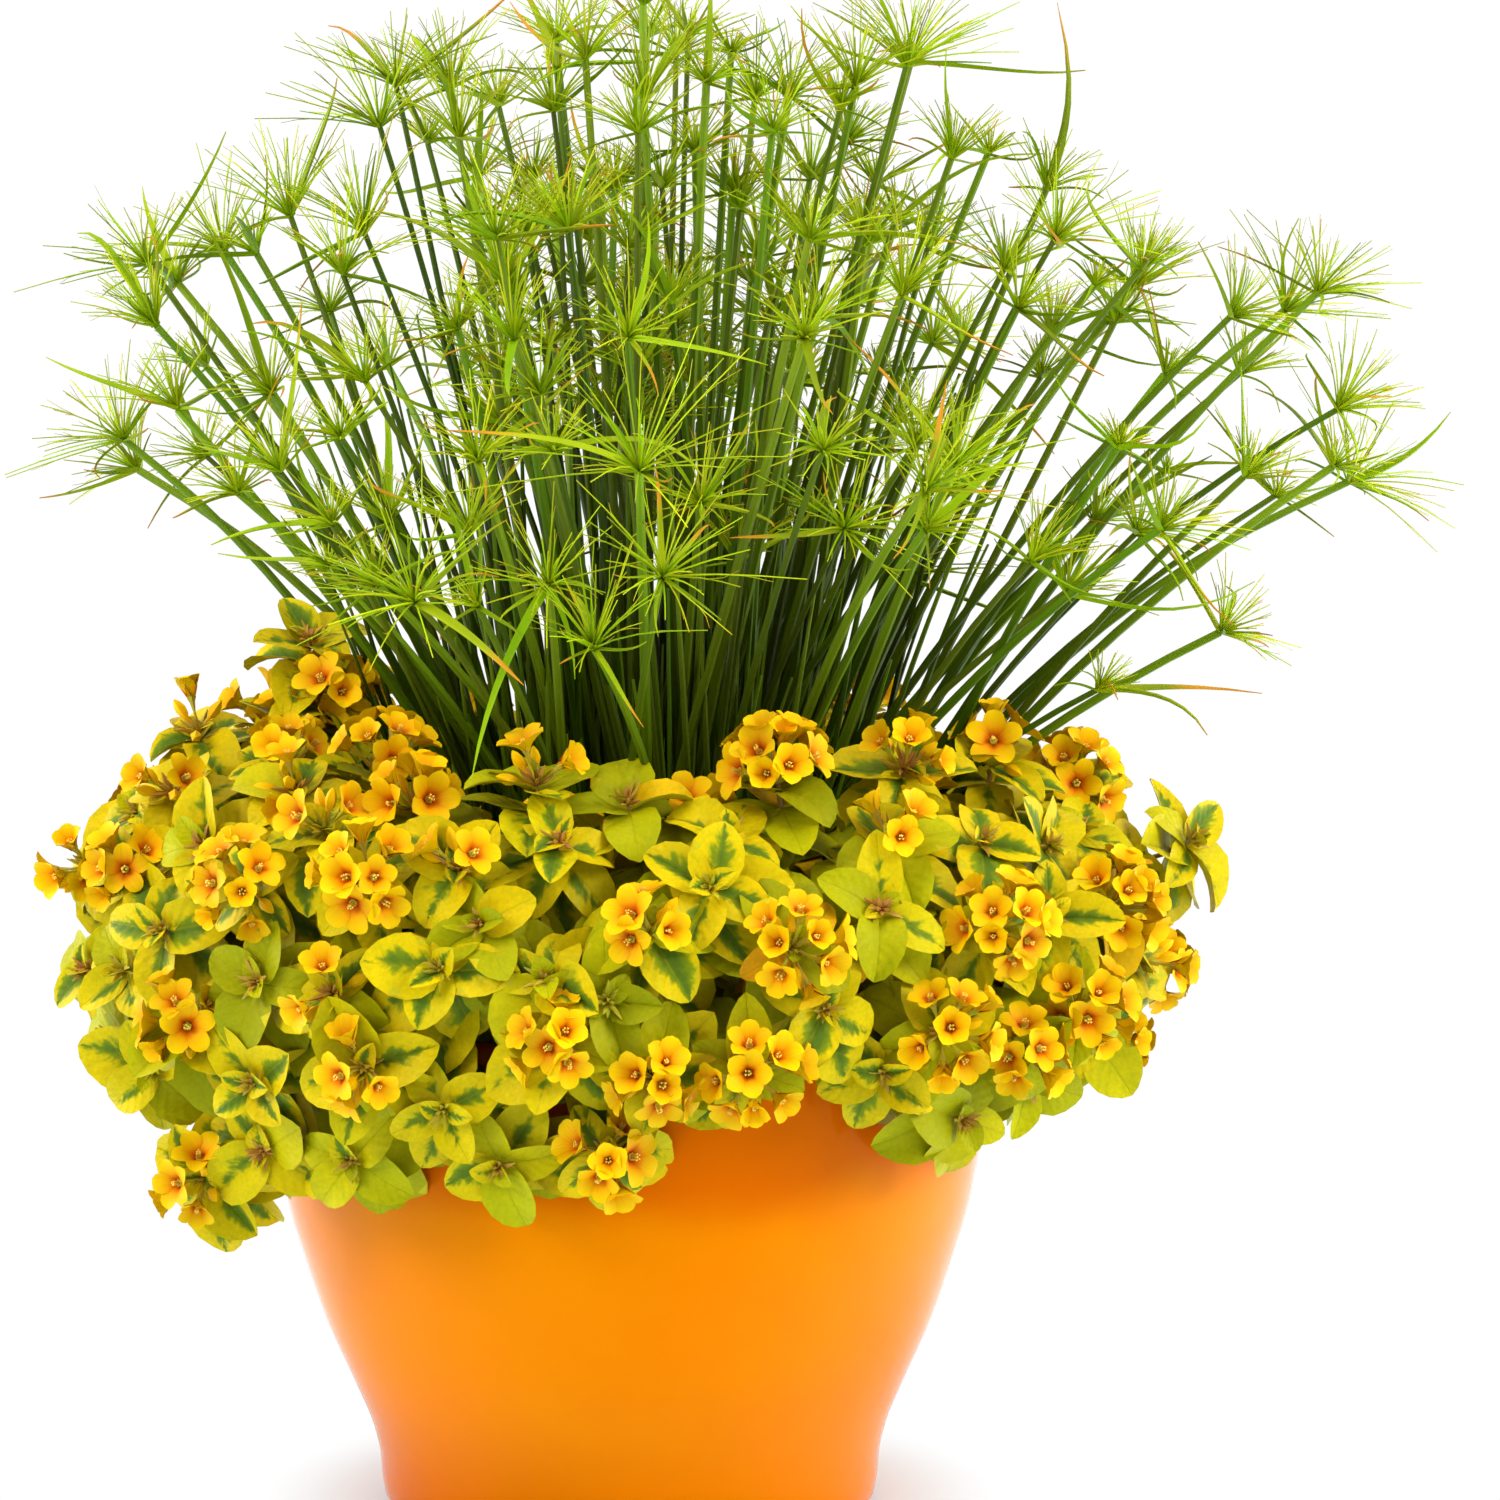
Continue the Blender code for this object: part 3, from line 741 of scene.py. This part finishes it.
# How many more flowers stand among those that show, where 0, 1, 2 and so on do
AMONG_THEM = np.array([0, 0, 0, 1, 2, 3, 3, 3, 3, 4])

shoot_angle, shoot_reach, shoot_top, shoot_low = np.array([
    (math.atan2(*points.mean(0)[1::-1]) % math.tau, np.hypot(*points.T[:2]).max(),
     points[:, 2].max(), points[:, 2].min())
    for points in (cad_points(f"loosestrife_shoot_{k:02d}") for k in range(1, SHOOTS + 1))]).T


def round_the_pot(angle, values):
    """The value at an angle, between those of the two nearest shoots."""
    return np.interp(angle, shoot_angle, values, period=math.tau)


def cushion(angle, share):
    """A point of the cushion: share goes from 0 at the crown, over the top, to 1 at the hem."""
    outline = through(SKIRT_OUTLINE, 8)
    place = np.linspace(0, 1, len(outline))
    reach = round_the_pot(angle, shoot_reach) - SKIRT_DRAW_IN
    front = np.clip(np.cos(angle - FRONT_HEM_TURN), 0, 1) ** 4
    low = round_the_pot(angle, shoot_low) + SKIRT_HEM_UP + FRONT_HEM_UP * front
    top = round_the_pot(angle, shoot_top)
    radius = SKIRT_INSIDE + (reach - SKIRT_INSIDE) * np.interp(share, place, outline[:, 0])
    height = low + (top - low) * np.interp(share, place, outline[:, 1])
    return np.stack([radius * np.cos(angle), radius * np.sin(angle), height], -1)


def outward(angle, share):
    """The direction straight out of the cushion there: one way along it crossed with the other."""
    step = 0.01
    round_way = cushion(angle + step, share) - cushion(angle - step, share)
    down_way = (cushion(angle, np.minimum(share + step, 1)) - cushion(angle, np.maximum(share - step, 0)))
    return unit(np.cross(down_way, round_way))


rng = np.random.default_rng(47)
grid_angle, grid_share = [g.ravel() for g in np.meshgrid(
    np.linspace(0, math.tau, 360, endpoint=False), np.linspace(0, 1, 60))]
grid = cushion(grid_angle, grid_share)
facing = outward(grid_angle, grid_share)
view_way = np.array([0.0, -math.cos(CAMERA_TILT), math.sin(CAMERA_TILT)])
view_side, view_height = in_front_view(grid)
# tips near the middle stand in front of the culms, and only those at the sides may be level with them
too_far = grid[:, 1] > 0.60 * np.maximum(np.abs(grid[:, 0]) - 0.06, 0) - 0.06
hidden = 10.0 * ((facing @ view_way < 0.05) | too_far)
spots, ways, flowers = [], [], []
for sideways, height, open_flowers in FRONT_TIPS:
    away = (view_side - sideways) ** 2 + (view_height - height) ** 2 + hidden
    nearest = away.argmin()
    spots.append(from_front(sideways, grid[nearest, 1], height))
    ways.append(facing[nearest])
    flowers.append(open_flowers)
for nearest in rng.permutation(len(grid)):
    if min(np.linalg.norm(np.array(spots) - grid[nearest], axis=1)) > TIP_GAP:
        spots.append(grid[nearest])
        ways.append(facing[nearest])
        flowers.append(rng.choice([0, 0, 0, 0, 2, 4]))
deep = []
for nearest in rng.permutation(len(grid)):
    spot = grid[nearest] - DEEP_BY * facing[nearest]
    if not deep or min(np.linalg.norm(np.array(deep) - spot, axis=1)) > DEEP_GAP:
        deep.append(spot)
        ways.append(facing[nearest])
        flowers.append(0)
spots, flowers = np.array(spots + deep), np.array(flowers)
flowers = flowers + AMONG_THEM[flowers]
# the rosettes turn up, and those in front and at the sides also turn to the light in front
at_side = np.clip((np.abs(spots[:, :1]) - 0.11) / 0.07, 0, 1)
to_light = np.clip((0.07 - spots[:, 1:2]) / 0.10, 0, 1) * (0.45 + 0.45 * at_side) * (0, -1, 0)
ways = unit(np.array(ways) + (0, 0, 0.34) + to_light + rng.normal(0, 0.17, (len(spots), 3)))
gap = np.abs((np.arctan2(spots[:, 1], spots[:, 0])[:, None] - shoot_angle + math.pi) % math.tau - math.pi)
shoot_of = gap.argmin(1)

stem_finish, tree, shader = finish_of("loosestrife_stem", 0.55, 0.3)
tree.links.new(graded(tree, use(tree, growth).outputs["Along"], STEM_STOPS), shader.inputs["Base Color"])


def only(part, mine):
    """A part with only those of its tubes that are picked."""
    shapes, faces, marks, finish = part
    return shapes[mine], faces, marks[mine], finish


flat_way = unit(spots * (1, 1, 0))
feet = flat_way * rng.uniform(0.070, 0.112, (len(spots), 1)) + (0, 0, soil_high.z - 0.004)
rise = feet + (0, 0, 0.075) + flat_way * 0.012
approach = spots - ways * 0.045
t = np.linspace(0, 1, STEM_ROWS)[:, None]
stem_paths = (feet[:, None] * (1 - t) ** 3 + rise[:, None] * (3 * t * (1 - t) ** 2)
              + approach[:, None] * (3 * t**2 * (1 - t)) + spots[:, None] * t**3)
turn, ring = circle(STEM_SIDES)
stem_side = np.stack([-flat_way[:, 1], flat_way[:, 0], 0 * flat_way[:, 0]], -1)[:, None]
stems = part_of(tubes(stem_paths, STEM_RADIUS * ring[None, None], stem_side),
                rng.random(len(spots)), turn / math.tau, t.ravel(), stem_finish)
for shoot in range(SHOOTS):
    piece(f"loosestrife_stems_{shoot + 1:02d}", [only(stems, shoot_of == shoot)],
          [f"loosestrife_shoot_{shoot + 1:02d}"])

# The leaves: pointed ovals in crossed pairs along each branch and in a rosette at its tip, cupped and
# arched, with a sunk midrib. Most are yellow with an uneven green middle; others are plain lime, gold or
# flushed with orange, and all are paler beneath.
LEAF_ROWS = np.array([0.0, 0.09, 0.24, 0.43, 0.62, 0.80, 0.94, 1.0])
LEAF_ACROSS = np.array([1.0, 0.0, -1.0, -0.5, 0.0, 0.5])
LEAF_UNDER = np.array([0, 1, 0, 0, 0, 0])
LEAF_THICK = 0.0005
LEAF_ASPECT = 0.74
# Each whorl from the tip down: leaves, how far back, least and most length, least and most opening, and
# whether the deeper tips have it too
WHORLS = (
    (2, 0.000, 0.008, 0.015, 14, 48, False),
    (4, 0.003, 0.021, 0.030, 50, 86, False),
    (4, 0.010, 0.026, 0.034, 72, 106, True),
    (3, 0.024, 0.028, 0.036, 84, 118, True))
LEAF_YELLOW = (0.700, 0.490, 0.0010)
LEAF_LIME = (0.480, 0.450, 0.0010)
LEAF_OLIVE = (0.280, 0.275, 0.0015)
LEAF_DARK = (0.080, 0.145, 0.010)
LEAF_GREEN = (0.200, 0.260, 0.005)
LEAF_GOLD = (0.740, 0.440, 0.001)
LEAF_FLUSH = (0.700, 0.300, 0.003)
LEAF_BENEATH = (0.500, 0.440, 0.010)
# The tips above and beyond these, high on both sides, have yellower leaves: painted light, where light falls on
# the upper sides of the cushion
PAINTED_LIGHT_ABOVE = 0.245
PAINTED_LIGHT_BEYOND = 0.10
PAINTED_LIGHT_TONE = 0.35

leaf_finish, tree, shader = finish_of("loosestrife_leaf", 0.45, 0.13, (1.0, 1.0, 0.35))
own = use(tree, growth)
patches = use(tree, mottle, Scale=120.0, Sharpness=2.2)
# the green lies more to one side of the rib than the other, by the leaf's own chance
slant = sums(tree, "MULTIPLY", sums(tree, "SUBTRACT", own.outputs["Chance"], 0.5), 0.55)
wide = sums(tree, "ABSOLUTE", own.outputs["Across"])
off_rib = sums(tree, "ABSOLUTE", sums(tree, "ADD", own.outputs["Across"], slant))
# side veins leave the midrib forwards: a wave along the leaf that lags with the distance from the rib
lag = sums(tree, "MULTIPLY_ADD", wide, -0.30, own.outputs["Along"])
vein = sums(tree, "SINE", sums(tree, "MULTIPLY", lag, 40.0))
# the green middle: widest halfway up the leaf, and uneven, with faint lobes along the veins
swell = sums(tree, "SINE", sums(tree, "MULTIPLY", sums(tree, "POWER", own.outputs["Along"], 0.8), math.pi))
reach = sums(tree, "MULTIPLY", swell, 0.36)
feather = put(tree, "ShaderNodeTexNoise", {
    "Vector": put(tree, "ShaderNodeCombineXYZ", {
        0: sums(tree, "MULTIPLY", lag, 8.0), 1: sums(tree, "MULTIPLY", own.outputs["Across"], 1.4),
        2: sums(tree, "MULTIPLY", own.outputs["Tone"], 60.0)}).outputs[0],
    "Scale": 1.0, "Detail": 2.0})
reach = sums(tree, "MULTIPLY_ADD", sums(tree, "SUBTRACT", feather.outputs["Fac"], 0.5), 0.9, reach)
patch = sums(tree, "SUBTRACT", patches.outputs["Patch"], 0.5)
reach = sums(tree, "MULTIPLY_ADD", patch, 0.40, reach)
own_share = sums(tree, "FRACT", sums(tree, "MULTIPLY", own.outputs["Tone"], 23.0))
reach = sums(tree, "MULTIPLY_ADD", sums(tree, "SUBTRACT", own_share, 0.5), 0.50, reach)
inside = ramped(tree, sums(tree, "SUBTRACT", reach, off_rib), -0.10, 0.12)
core = ramped(tree, sums(tree, "SUBTRACT", sums(tree, "MULTIPLY", reach, 0.55), off_rib), -0.15, 0.18)
ground = graded(tree, own.outputs["Tone"], (
    (0.0, LEAF_YELLOW), (0.42, (0.66, 0.500, 0.002)), (0.52, LEAF_LIME), (0.76, LEAF_OLIVE),
    (0.86, LEAF_LIME), (0.90, LEAF_GOLD), (0.96, LEAF_FLUSH)))
middle = blended(tree, core, LEAF_GREEN, LEAF_DARK)
clouded = sums(tree, "MULTIPLY", patches.outputs["Patch"], 0.34)
ground = blended(tree, clouded, ground, LEAF_GREEN)
striped = sums(tree, "MULTIPLY", inside, sums(tree, "LESS_THAN", own.outputs["Tone"], 0.47))
colour = blended(tree, striped, ground, middle)
rib = ramped(tree, wide, 0.0, 0.08)
colour = blended(tree, sums(tree, "MULTIPLY", sums(tree, "SUBTRACT", 1.0, rib), 0.35), colour, LEAF_OLIVE)
colour = blended(tree, own.outputs["Under"], colour, LEAF_BENEATH)
shade = sums(tree, "MULTIPLY_ADD", patches.outputs["Height"], 0.40, 0.80)
tree.links.new(toned(tree, colour, shade), shader.inputs["Base Color"])
relief = sums(tree, "ADD", sums(tree, "MULTIPLY", vein, 0.30), rib)
roughened(tree, shader, relief, 0.35, 0.0005)


def blades(starts, axes, opening, turn, length, bend, rows, sections):
    """n closed blades that open from their axes. Each arches away from its axis like an arc of a circle."""
    ways = fanned(axes, opening[:, None], turn[:, None])[:, 0]
    over = unit(axes - (axes * ways).sum(-1, keepdims=True) * ways)
    angle = bend[:, None] * rows
    ahead, drop = np.sin(angle) / bend[:, None], (1 - np.cos(angle)) / bend[:, None]
    paths = starts[:, None] + length[:, None, None] * (
        ahead[..., None] * ways[:, None] - drop[..., None] * over[:, None])
    return tubes(paths, sections, np.cross(ways, over)[:, None])


def leaves(starts, axes, opening, turn, length, rng):
    """n leaves that open from their axes.

    The half width goes as a power of the way up times a power of the way left. The sides lift as a
    power of the distance from the rib, and ripple along the edge.
    """
    count = len(starts)
    bend = rng.uniform(0.15, 1.45, count)
    v = LEAF_ROWS
    outline = v**0.56 * (1 - v) ** 0.72 + 0.012
    aspect = rng.uniform(0.76, 1.14, count) * LEAF_ASPECT
    half = (0.5 * aspect * length)[:, None, None] * (outline / outline.max())[:, None]
    distance = np.abs(LEAF_ACROSS)
    cup = rng.uniform(0.03, 0.68, count)[:, None, None]
    wave = 0.06 * np.sin(9 * v[:, None] + rng.uniform(0, math.tau, count)[:, None, None])
    lift = half * (cup * distance**0.85 + wave * distance)
    sections = np.stack([half * LEAF_ACROSS, LEAF_THICK * LEAF_UNDER - lift], -1)
    return blades(starts, axes, opening, turn, length, bend, v, sections)


whorls = []
start_turn = rng.uniform(0, math.tau, len(spots))
rosette_tone = rng.random(len(spots))
# painted shade: the deep tips' leaves lean to the olive, gold and flushed tones, for the warm, darker look of
# the shade inside the cushion
rosette_tone[-len(deep):] = rosette_tone[-len(deep):] ** 0.5
# painted light: the high tips at the sides get yellower leaves
rosette_tone[(spots[:, 2] > PAINTED_LIGHT_ABOVE) & (np.abs(spots[:, 0]) > PAINTED_LIGHT_BEYOND)] *= PAINTED_LIGHT_TONE
for whorl, (count, back, least, most, narrow, open_wide, also_deep) in enumerate(WHORLS):
    here = np.arange(len(spots)) < (len(spots) if also_deep else len(spots) - len(deep))
    size = (here.sum(), count)
    along_stem = (spots - ways * back)[here]
    turn = start_turn[here, None] + math.tau * (np.arange(count) + 0.5 * whorl) / count
    turn = turn + rng.normal(0, 0.16, size)
    opening = np.radians(rng.uniform(narrow, open_wide, size))
    length = rng.uniform(least, most, size)
    starts, axes = np.repeat(along_stem, count, 0), np.repeat(ways[here], count, 0)
    made = leaves(starts, axes, opening.ravel(), turn.ravel(), length.ravel(), rng)
    tone = np.repeat(rosette_tone[here], count) * 0.65 + rng.random(len(made)) * 0.35
    whorls.append((part_of(made, tone, LEAF_ACROSS, LEAF_ROWS, leaf_finish, LEAF_UNDER),
                   np.repeat(shoot_of[here], count)))
for shoot in range(SHOOTS):
    piece(f"loosestrife_leaves_{shoot + 1:02d}", [only(part, owner == shoot) for part, owner in whorls])

# The flowers: heads of cupped golden flowers of five broad petals with an orange-red throat and pale
# stamens, each on a short stalk, among closed buds and narrow green and brown sepals. Tips with no
# flower have the sepals only, and the deeper tips have nothing.
PETALS = 5
PETAL_ROWS = np.array([0.0, 0.22, 0.44, 0.66, 0.84, 0.95, 1.0])
PETAL_ACROSS = np.array([1.0, 0.0, -1.0, -0.45, 0.45])
PETAL_UNDER = np.array([0, 1, 0, 0, 0])
PETAL_LENGTH = 0.0125
PETAL_HALF_WIDTH = 0.0042
PETAL_THICK = 0.0003
PETAL_BEND = 0.75
PETAL_CUP = 0.34
HEAD_OPENING = math.radians(70)
HEAD_RADIUS = 0.0095
SEPALS = 15
SEPAL_LENGTH = 0.0070
SEPAL_OPENING = math.radians(66)
SEPAL_ROWS = 4
SEPAL_ROOT = 0.0005
SEPAL_TIP = 0.0002
SEPAL_BELLY = 0.0007
STAMENS = 5
STAMEN_LENGTH = 0.0058
STAMEN_ROOT = 0.0004
STAMEN_TIP = 0.0005
BUDS = 3
BUD_REACH = 0.0160
BUD_ROWS = np.array([0.0, 0.45, 0.56, 0.72, 0.88, 1.0])
BUD_RADII = np.array([0.0004, 0.0005, 0.0018, 0.0024, 0.0017, 0.0004])
STALK_SIDES = 5
STALK_ROWS = np.array([0.0, 0.55, 0.80, 0.92, 1.0])
STALK_RADII = np.array([0.0005, 0.0005, 0.0011, 0.0019, 0.0016])
PETAL_STOPS = (
    (0.00, (0.320, 0.022, 0.001)), (0.22, (0.500, 0.058, 0.001)), (0.36, (0.760, 0.200, 0.001)),
    (0.50, (0.880, 0.400, 0.001)), (0.72, (0.900, 0.520, 0.001)), (1.00, (0.920, 0.600, 0.001)))
PETAL_BACK = (0.940, 0.560, 0.001)
SEPAL_GREEN = (0.450, 0.440, 0.010)
SEPAL_BROWN = (0.460, 0.200, 0.040)
STAMEN_COLOUR = (0.850, 0.600, 0.070)

petal_finish, tree, shader = finish_of("loosestrife_petal", 0.5, 0.15, (1.0, 0.85, 0.3))
own = use(tree, growth)
line = use(tree, streaks, Around=7.0, Length=1.5)
gold = graded(tree, own.outputs["Along"], PETAL_STOPS)
shade = sums(tree, "MULTIPLY", sums(tree, "MULTIPLY_ADD", own.outputs["Tone"], 0.24, 0.77),
             sums(tree, "MULTIPLY_ADD", line.outputs["Streak"], 0.24, 0.88))
gold = blended(tree, own.outputs["Under"], gold, PETAL_BACK)
tree.links.new(toned(tree, gold, shade), shader.inputs["Base Color"])
roughened(tree, shader, line.outputs["Streak"], 0.3, 0.0004)

sepal_finish, tree, shader = finish_of("loosestrife_sepal", 0.6, 0.3)
own = use(tree, growth)
tree.links.new(blended(tree, own.outputs["Tone"], SEPAL_GREEN, SEPAL_BROWN), shader.inputs["Base Color"])
stamen_finish, tree, shader = finish_of("loosestrife_stamen", 0.5, 0.3)
own = use(tree, growth)
tree.links.new(blended(tree, own.outputs["Along"], SEPAL_GREEN, STAMEN_COLOUR), shader.inputs["Base Color"])

head_spots = np.repeat(spots, flowers, 0)
head_ways = np.repeat(ways, flowers, 0)
order = np.concatenate([np.arange(n) for n in flowers])
of_many = np.repeat(flowers, flowers)
opening = HEAD_OPENING * np.sqrt((order + 0.35) / np.maximum(of_many, 2)) + rng.normal(0, 0.1, len(order))
turn = GOLDEN_TURN * order + np.repeat(rng.uniform(0, math.tau, len(spots)), flowers)
flower_ways = fanned(head_ways, opening[:, None], turn[:, None])[:, 0]
head_radius = HEAD_RADIUS * np.where(of_many > 6, 1.35, 1.0)[:, None]
flower_spots = head_spots + head_ways * 0.003 + flower_ways * head_radius

# each stands on a short stalk that widens into a green calyx round the foot of its petals
count = len(flower_spots)
stalk_end = flower_spots + 0.0028 * flower_ways
stalk_paths = head_spots[:, None] + (stalk_end - head_spots)[:, None] * STALK_ROWS[:, None]
turn, ring = circle(STALK_SIDES)
stalk_side = np.cross(stalk_end - head_spots, (0.3, 0.5, 0.8))[:, None]
stalks = part_of(tubes(stalk_paths, (STALK_RADII[:, None, None] * ring)[None], stalk_side),
                 0.5 * rng.random(count), turn / math.tau, STALK_ROWS, sepal_finish)

starts = np.repeat(flower_spots, PETALS, 0)
axes = np.repeat(flower_ways, PETALS, 0)
turn = (math.tau * np.arange(PETALS) / PETALS + rng.uniform(0, math.tau, (count, 1))).ravel()
cupped = np.radians(np.repeat(rng.uniform(12, 40, count), PETALS))
length = PETAL_LENGTH * np.repeat(rng.uniform(0.86, 1.06, count), PETALS)
bend = PETAL_BEND * np.repeat(rng.uniform(0.45, 1.3, count), PETALS) * rng.uniform(0.8, 1.2, count * PETALS)
# the half width climbs as a sine to three quarters of the way up, and the end is rounded off
v = PETAL_ROWS
outline = (0.26 + 0.74 * np.sin(math.pi / 2 * np.minimum(v / 0.74, 1)) ** 1.3) * (1 - v**7) ** 0.62 + 0.02
half = PETAL_HALF_WIDTH * (length / PETAL_LENGTH)[:, None, None] * outline[:, None]
lift = half * PETAL_CUP * np.abs(PETAL_ACROSS) ** 0.85
sections = np.stack([half * PETAL_ACROSS, PETAL_THICK * PETAL_UNDER - lift], -1)
petals = part_of(blades(starts, axes, cupped, turn, length, bend, v, sections),
                 np.repeat(rng.random(count), PETALS), PETAL_ACROSS, v, petal_finish, PETAL_UNDER)
opening = np.radians(rng.uniform(3, 13, (count, STAMENS)))
turn = math.tau * np.arange(STAMENS) / STAMENS + rng.uniform(0, 1, (count, 1))
stamen_ways = fanned(flower_ways, opening, turn).reshape(-1, 3)
stamen_length = np.full(len(stamen_ways), STAMEN_LENGTH)
spike_turn = np.arange(RAY_SIDES) / RAY_SIDES
stamens = part_of(needles(np.repeat(flower_spots, STAMENS, 0), stamen_ways, stamen_length, stamen_ways * 0,
                          STAMEN_ROOT, STAMEN_TIP, THREAD_ROWS),
                  rng.random(len(stamen_ways)), spike_turn, np.linspace(0, 1, THREAD_ROWS), stamen_finish)

tufts = len(spots) - len(deep)
opening = SEPAL_OPENING * np.sqrt((np.arange(SEPALS) + 0.4) / SEPALS) * np.ones((tufts, 1))
turn = GOLDEN_TURN * np.arange(SEPALS) + rng.uniform(0, math.tau, (tufts, 1))
sepal_ways = fanned(ways[:tufts], opening + rng.normal(0, 0.12, turn.shape), turn).reshape(-1, 3)
bare = np.repeat(flowers[:tufts] == 0, SEPALS)
sepal_length = SEPAL_LENGTH * rng.uniform(0.7, 1.25, len(sepal_ways)) * np.where(bare, 1.0, 1.25)
sepal_bow = rng.normal(0, 0.1, sepal_ways.shape)
sepal_tone = np.clip(np.repeat(rng.random(tufts), SEPALS) * 0.7 + rng.random(len(sepal_ways)) * 0.4, 0, 1)
sepals = part_of(needles(np.repeat(spots[:tufts], SEPALS, 0), sepal_ways, sepal_length, sepal_bow,
                         SEPAL_ROOT, SEPAL_TIP, SEPAL_ROWS, SEPAL_BELLY),
                 sepal_tone, spike_turn, np.linspace(0, 1, SEPAL_ROWS), sepal_finish)

budded = flowers > 0
opening = np.radians(rng.uniform(25, 85, (budded.sum(), BUDS)))
turn = rng.uniform(0, math.tau, (budded.sum(), BUDS))
bud_ways = fanned(ways[budded], opening, turn).reshape(-1, 3)
bud_paths = np.repeat(spots[budded], BUDS, 0)[:, None] + BUD_REACH * bud_ways[:, None] * BUD_ROWS[:, None]
turn, ring = circle(STALK_SIDES)
bud_side = np.cross(bud_ways, (0.3, 0.5, 0.8))[:, None]
buds = part_of(tubes(bud_paths, (BUD_RADII[:, None, None] * ring)[None], bud_side),
               rng.random(len(bud_ways)), turn / math.tau, 0.35 + 0.5 * BUD_ROWS, petal_finish)

of_flower = np.repeat(shoot_of, flowers)
owned = [
    (petals, np.repeat(of_flower, PETALS)), (stamens, np.repeat(of_flower, STAMENS)), (stalks, of_flower),
    (sepals, np.repeat(shoot_of[:tufts], SEPALS)), (buds, np.repeat(shoot_of[budded], BUDS))]
for shoot in range(SHOOTS):
    piece(f"loosestrife_flowers_{shoot + 1:02d}", [only(part, owner == shoot) for part, owner in owned])

# The studio: a pale floor without an edge in sight, a white room, soft boxes to the left, the right,
# above and low behind each side, and a long lens that looks slightly down on the front of the plant.
FLOOR_RADIUS = 40.0
FLOOR_SIDES = 96
LIT_FLOOR_FROM = 0.092
LIT_FLOOR_TO = 0.150
ROOM_FRONT = 0.47
ROOM_BACK = 0.74
FLOOR_PAPER = (0.68, 0.82, 0.96)
FLOOR_PALER = (0.70, 0.84, 0.98)
SEEN_WHITE = 1.02
LIGHT_TINT = (1.0, 0.95, 0.84)
FRAME_WIDTH = 0.570

floor_mesh = bpy.data.meshes.new("studio_floor")
rim = np.insert(FLOOR_RADIUS * circle(FLOOR_SIDES)[1], 2, 0.0, 1)
floor_mesh.from_pydata(rim.tolist(), [], [list(range(FLOOR_SIDES))])
floor_finish, tree, shader = finish_of("studio_floor", 0.7, 0.1)
paper = use(tree, mottle, Scale=3.0, Sharpness=1.0)
tree.links.new(blended(tree, paper.outputs["Patch"], FLOOR_PAPER, FLOOR_PALER), shader.inputs["Base Color"])
# further out the floor is lit from below like a light table, so that it shows as white as the room
spot = put(tree, "ShaderNodeTexCoord").outputs["Object"]
away = put(tree, "ShaderNodeVectorMath", {0: spot}, operation="LENGTH").outputs["Value"]
outer_floor = ramped(tree, away, LIT_FLOOR_FROM, LIT_FLOOR_TO, "SMOOTHSTEP")
seen = put(tree, "ShaderNodeLightPath").outputs["Is Camera Ray"]
glow = put(tree, "ShaderNodeEmission", {"Strength": SEEN_WHITE})
shown = put(tree, "ShaderNodeMixShader", {
    0: sums(tree, "MULTIPLY", outer_floor, seen), 1: shader.outputs[0], 2: glow.outputs[0]})
tree.links.new(shown.outputs[0], tree.nodes["Material Output"].inputs["Surface"])
floor_mesh.materials.append(floor_finish)
floor = bpy.data.objects.new("studio_floor", floor_mesh)
bpy.context.scene.collection.objects.link(floor)
floor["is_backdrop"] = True

# The room is white to the eye. Its light is strong from behind and the sides, and weak from the front.
world = bpy.data.worlds.new("white_room")
bpy.context.scene.world = world
world.use_nodes = True
tree = world.node_tree
backdrop = tree.nodes["Background"]
facing_way = put(tree, "ShaderNodeSeparateXYZ", {0: put(tree, "ShaderNodeTexCoord").outputs["Generated"]})
room = put(tree, "ShaderNodeMapRange", {
    "Value": facing_way.outputs["Y"], "From Min": -1.0, "From Max": 0.6,
    "To Min": ROOM_FRONT, "To Max": ROOM_BACK})
seen = put(tree, "ShaderNodeLightPath").outputs["Is Camera Ray"]
strength = put(tree, "ShaderNodeMix", {0: seen, 2: room.outputs[0], 3: SEEN_WHITE}).outputs[0]
backdrop.inputs["Color"].default_value = (1, 1, 1, 1)
tree.links.new(strength, backdrop.inputs["Strength"])


def soft_box(name, place, aim, size, power):
    """A square area light that faces its aim."""
    light = bpy.data.lights.new(name, "AREA")
    light.shape = "SQUARE"
    light.size = size
    light.energy = power
    light.color = LIGHT_TINT
    made = bpy.data.objects.new(name, light)
    made.location = place
    made.rotation_euler = (Vector(aim) - Vector(place)).to_track_quat("-Z", "Y").to_euler()
    bpy.context.scene.collection.objects.link(made)


soft_box("left_box", (-1.8, -1.3, 1.6), (0, 0, 0.25), 1.0, 39)
soft_box("right_box", (1.9, -0.9, 1.3), (0, 0, 0.25), 1.0, 42)
soft_box("top_box", (0.1, -0.3, 2.3), (0, 0, 0.2), 1.3, 30)
soft_box("rear_left_box", (-2.0, 0.7, 0.6), (0, 0, 0.15), 1.2, 27)
soft_box("rear_right_box", (2.0, 0.8, 0.6), (0, 0, 0.15), 1.2, 18)

camera_data = bpy.data.cameras.new("camera")
camera_data.sensor_width = 36.0
camera_data.lens = camera_data.sensor_width * CAMERA_AWAY / FRAME_WIDTH
camera = bpy.data.objects.new("camera", camera_data)
camera.location = Vector(AIM) + Vector((0, -math.cos(CAMERA_TILT), math.sin(CAMERA_TILT))) * CAMERA_AWAY
camera.rotation_euler = (math.pi / 2 - CAMERA_TILT, 0, 0)
bpy.context.scene.collection.objects.link(camera)
bpy.context.scene.camera = camera
bpy.context.scene.view_settings.view_transform = "Standard"

sizes = {"cad": [list(corner) for corner in cad_bounds], "visual": [list(corner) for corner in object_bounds()]}
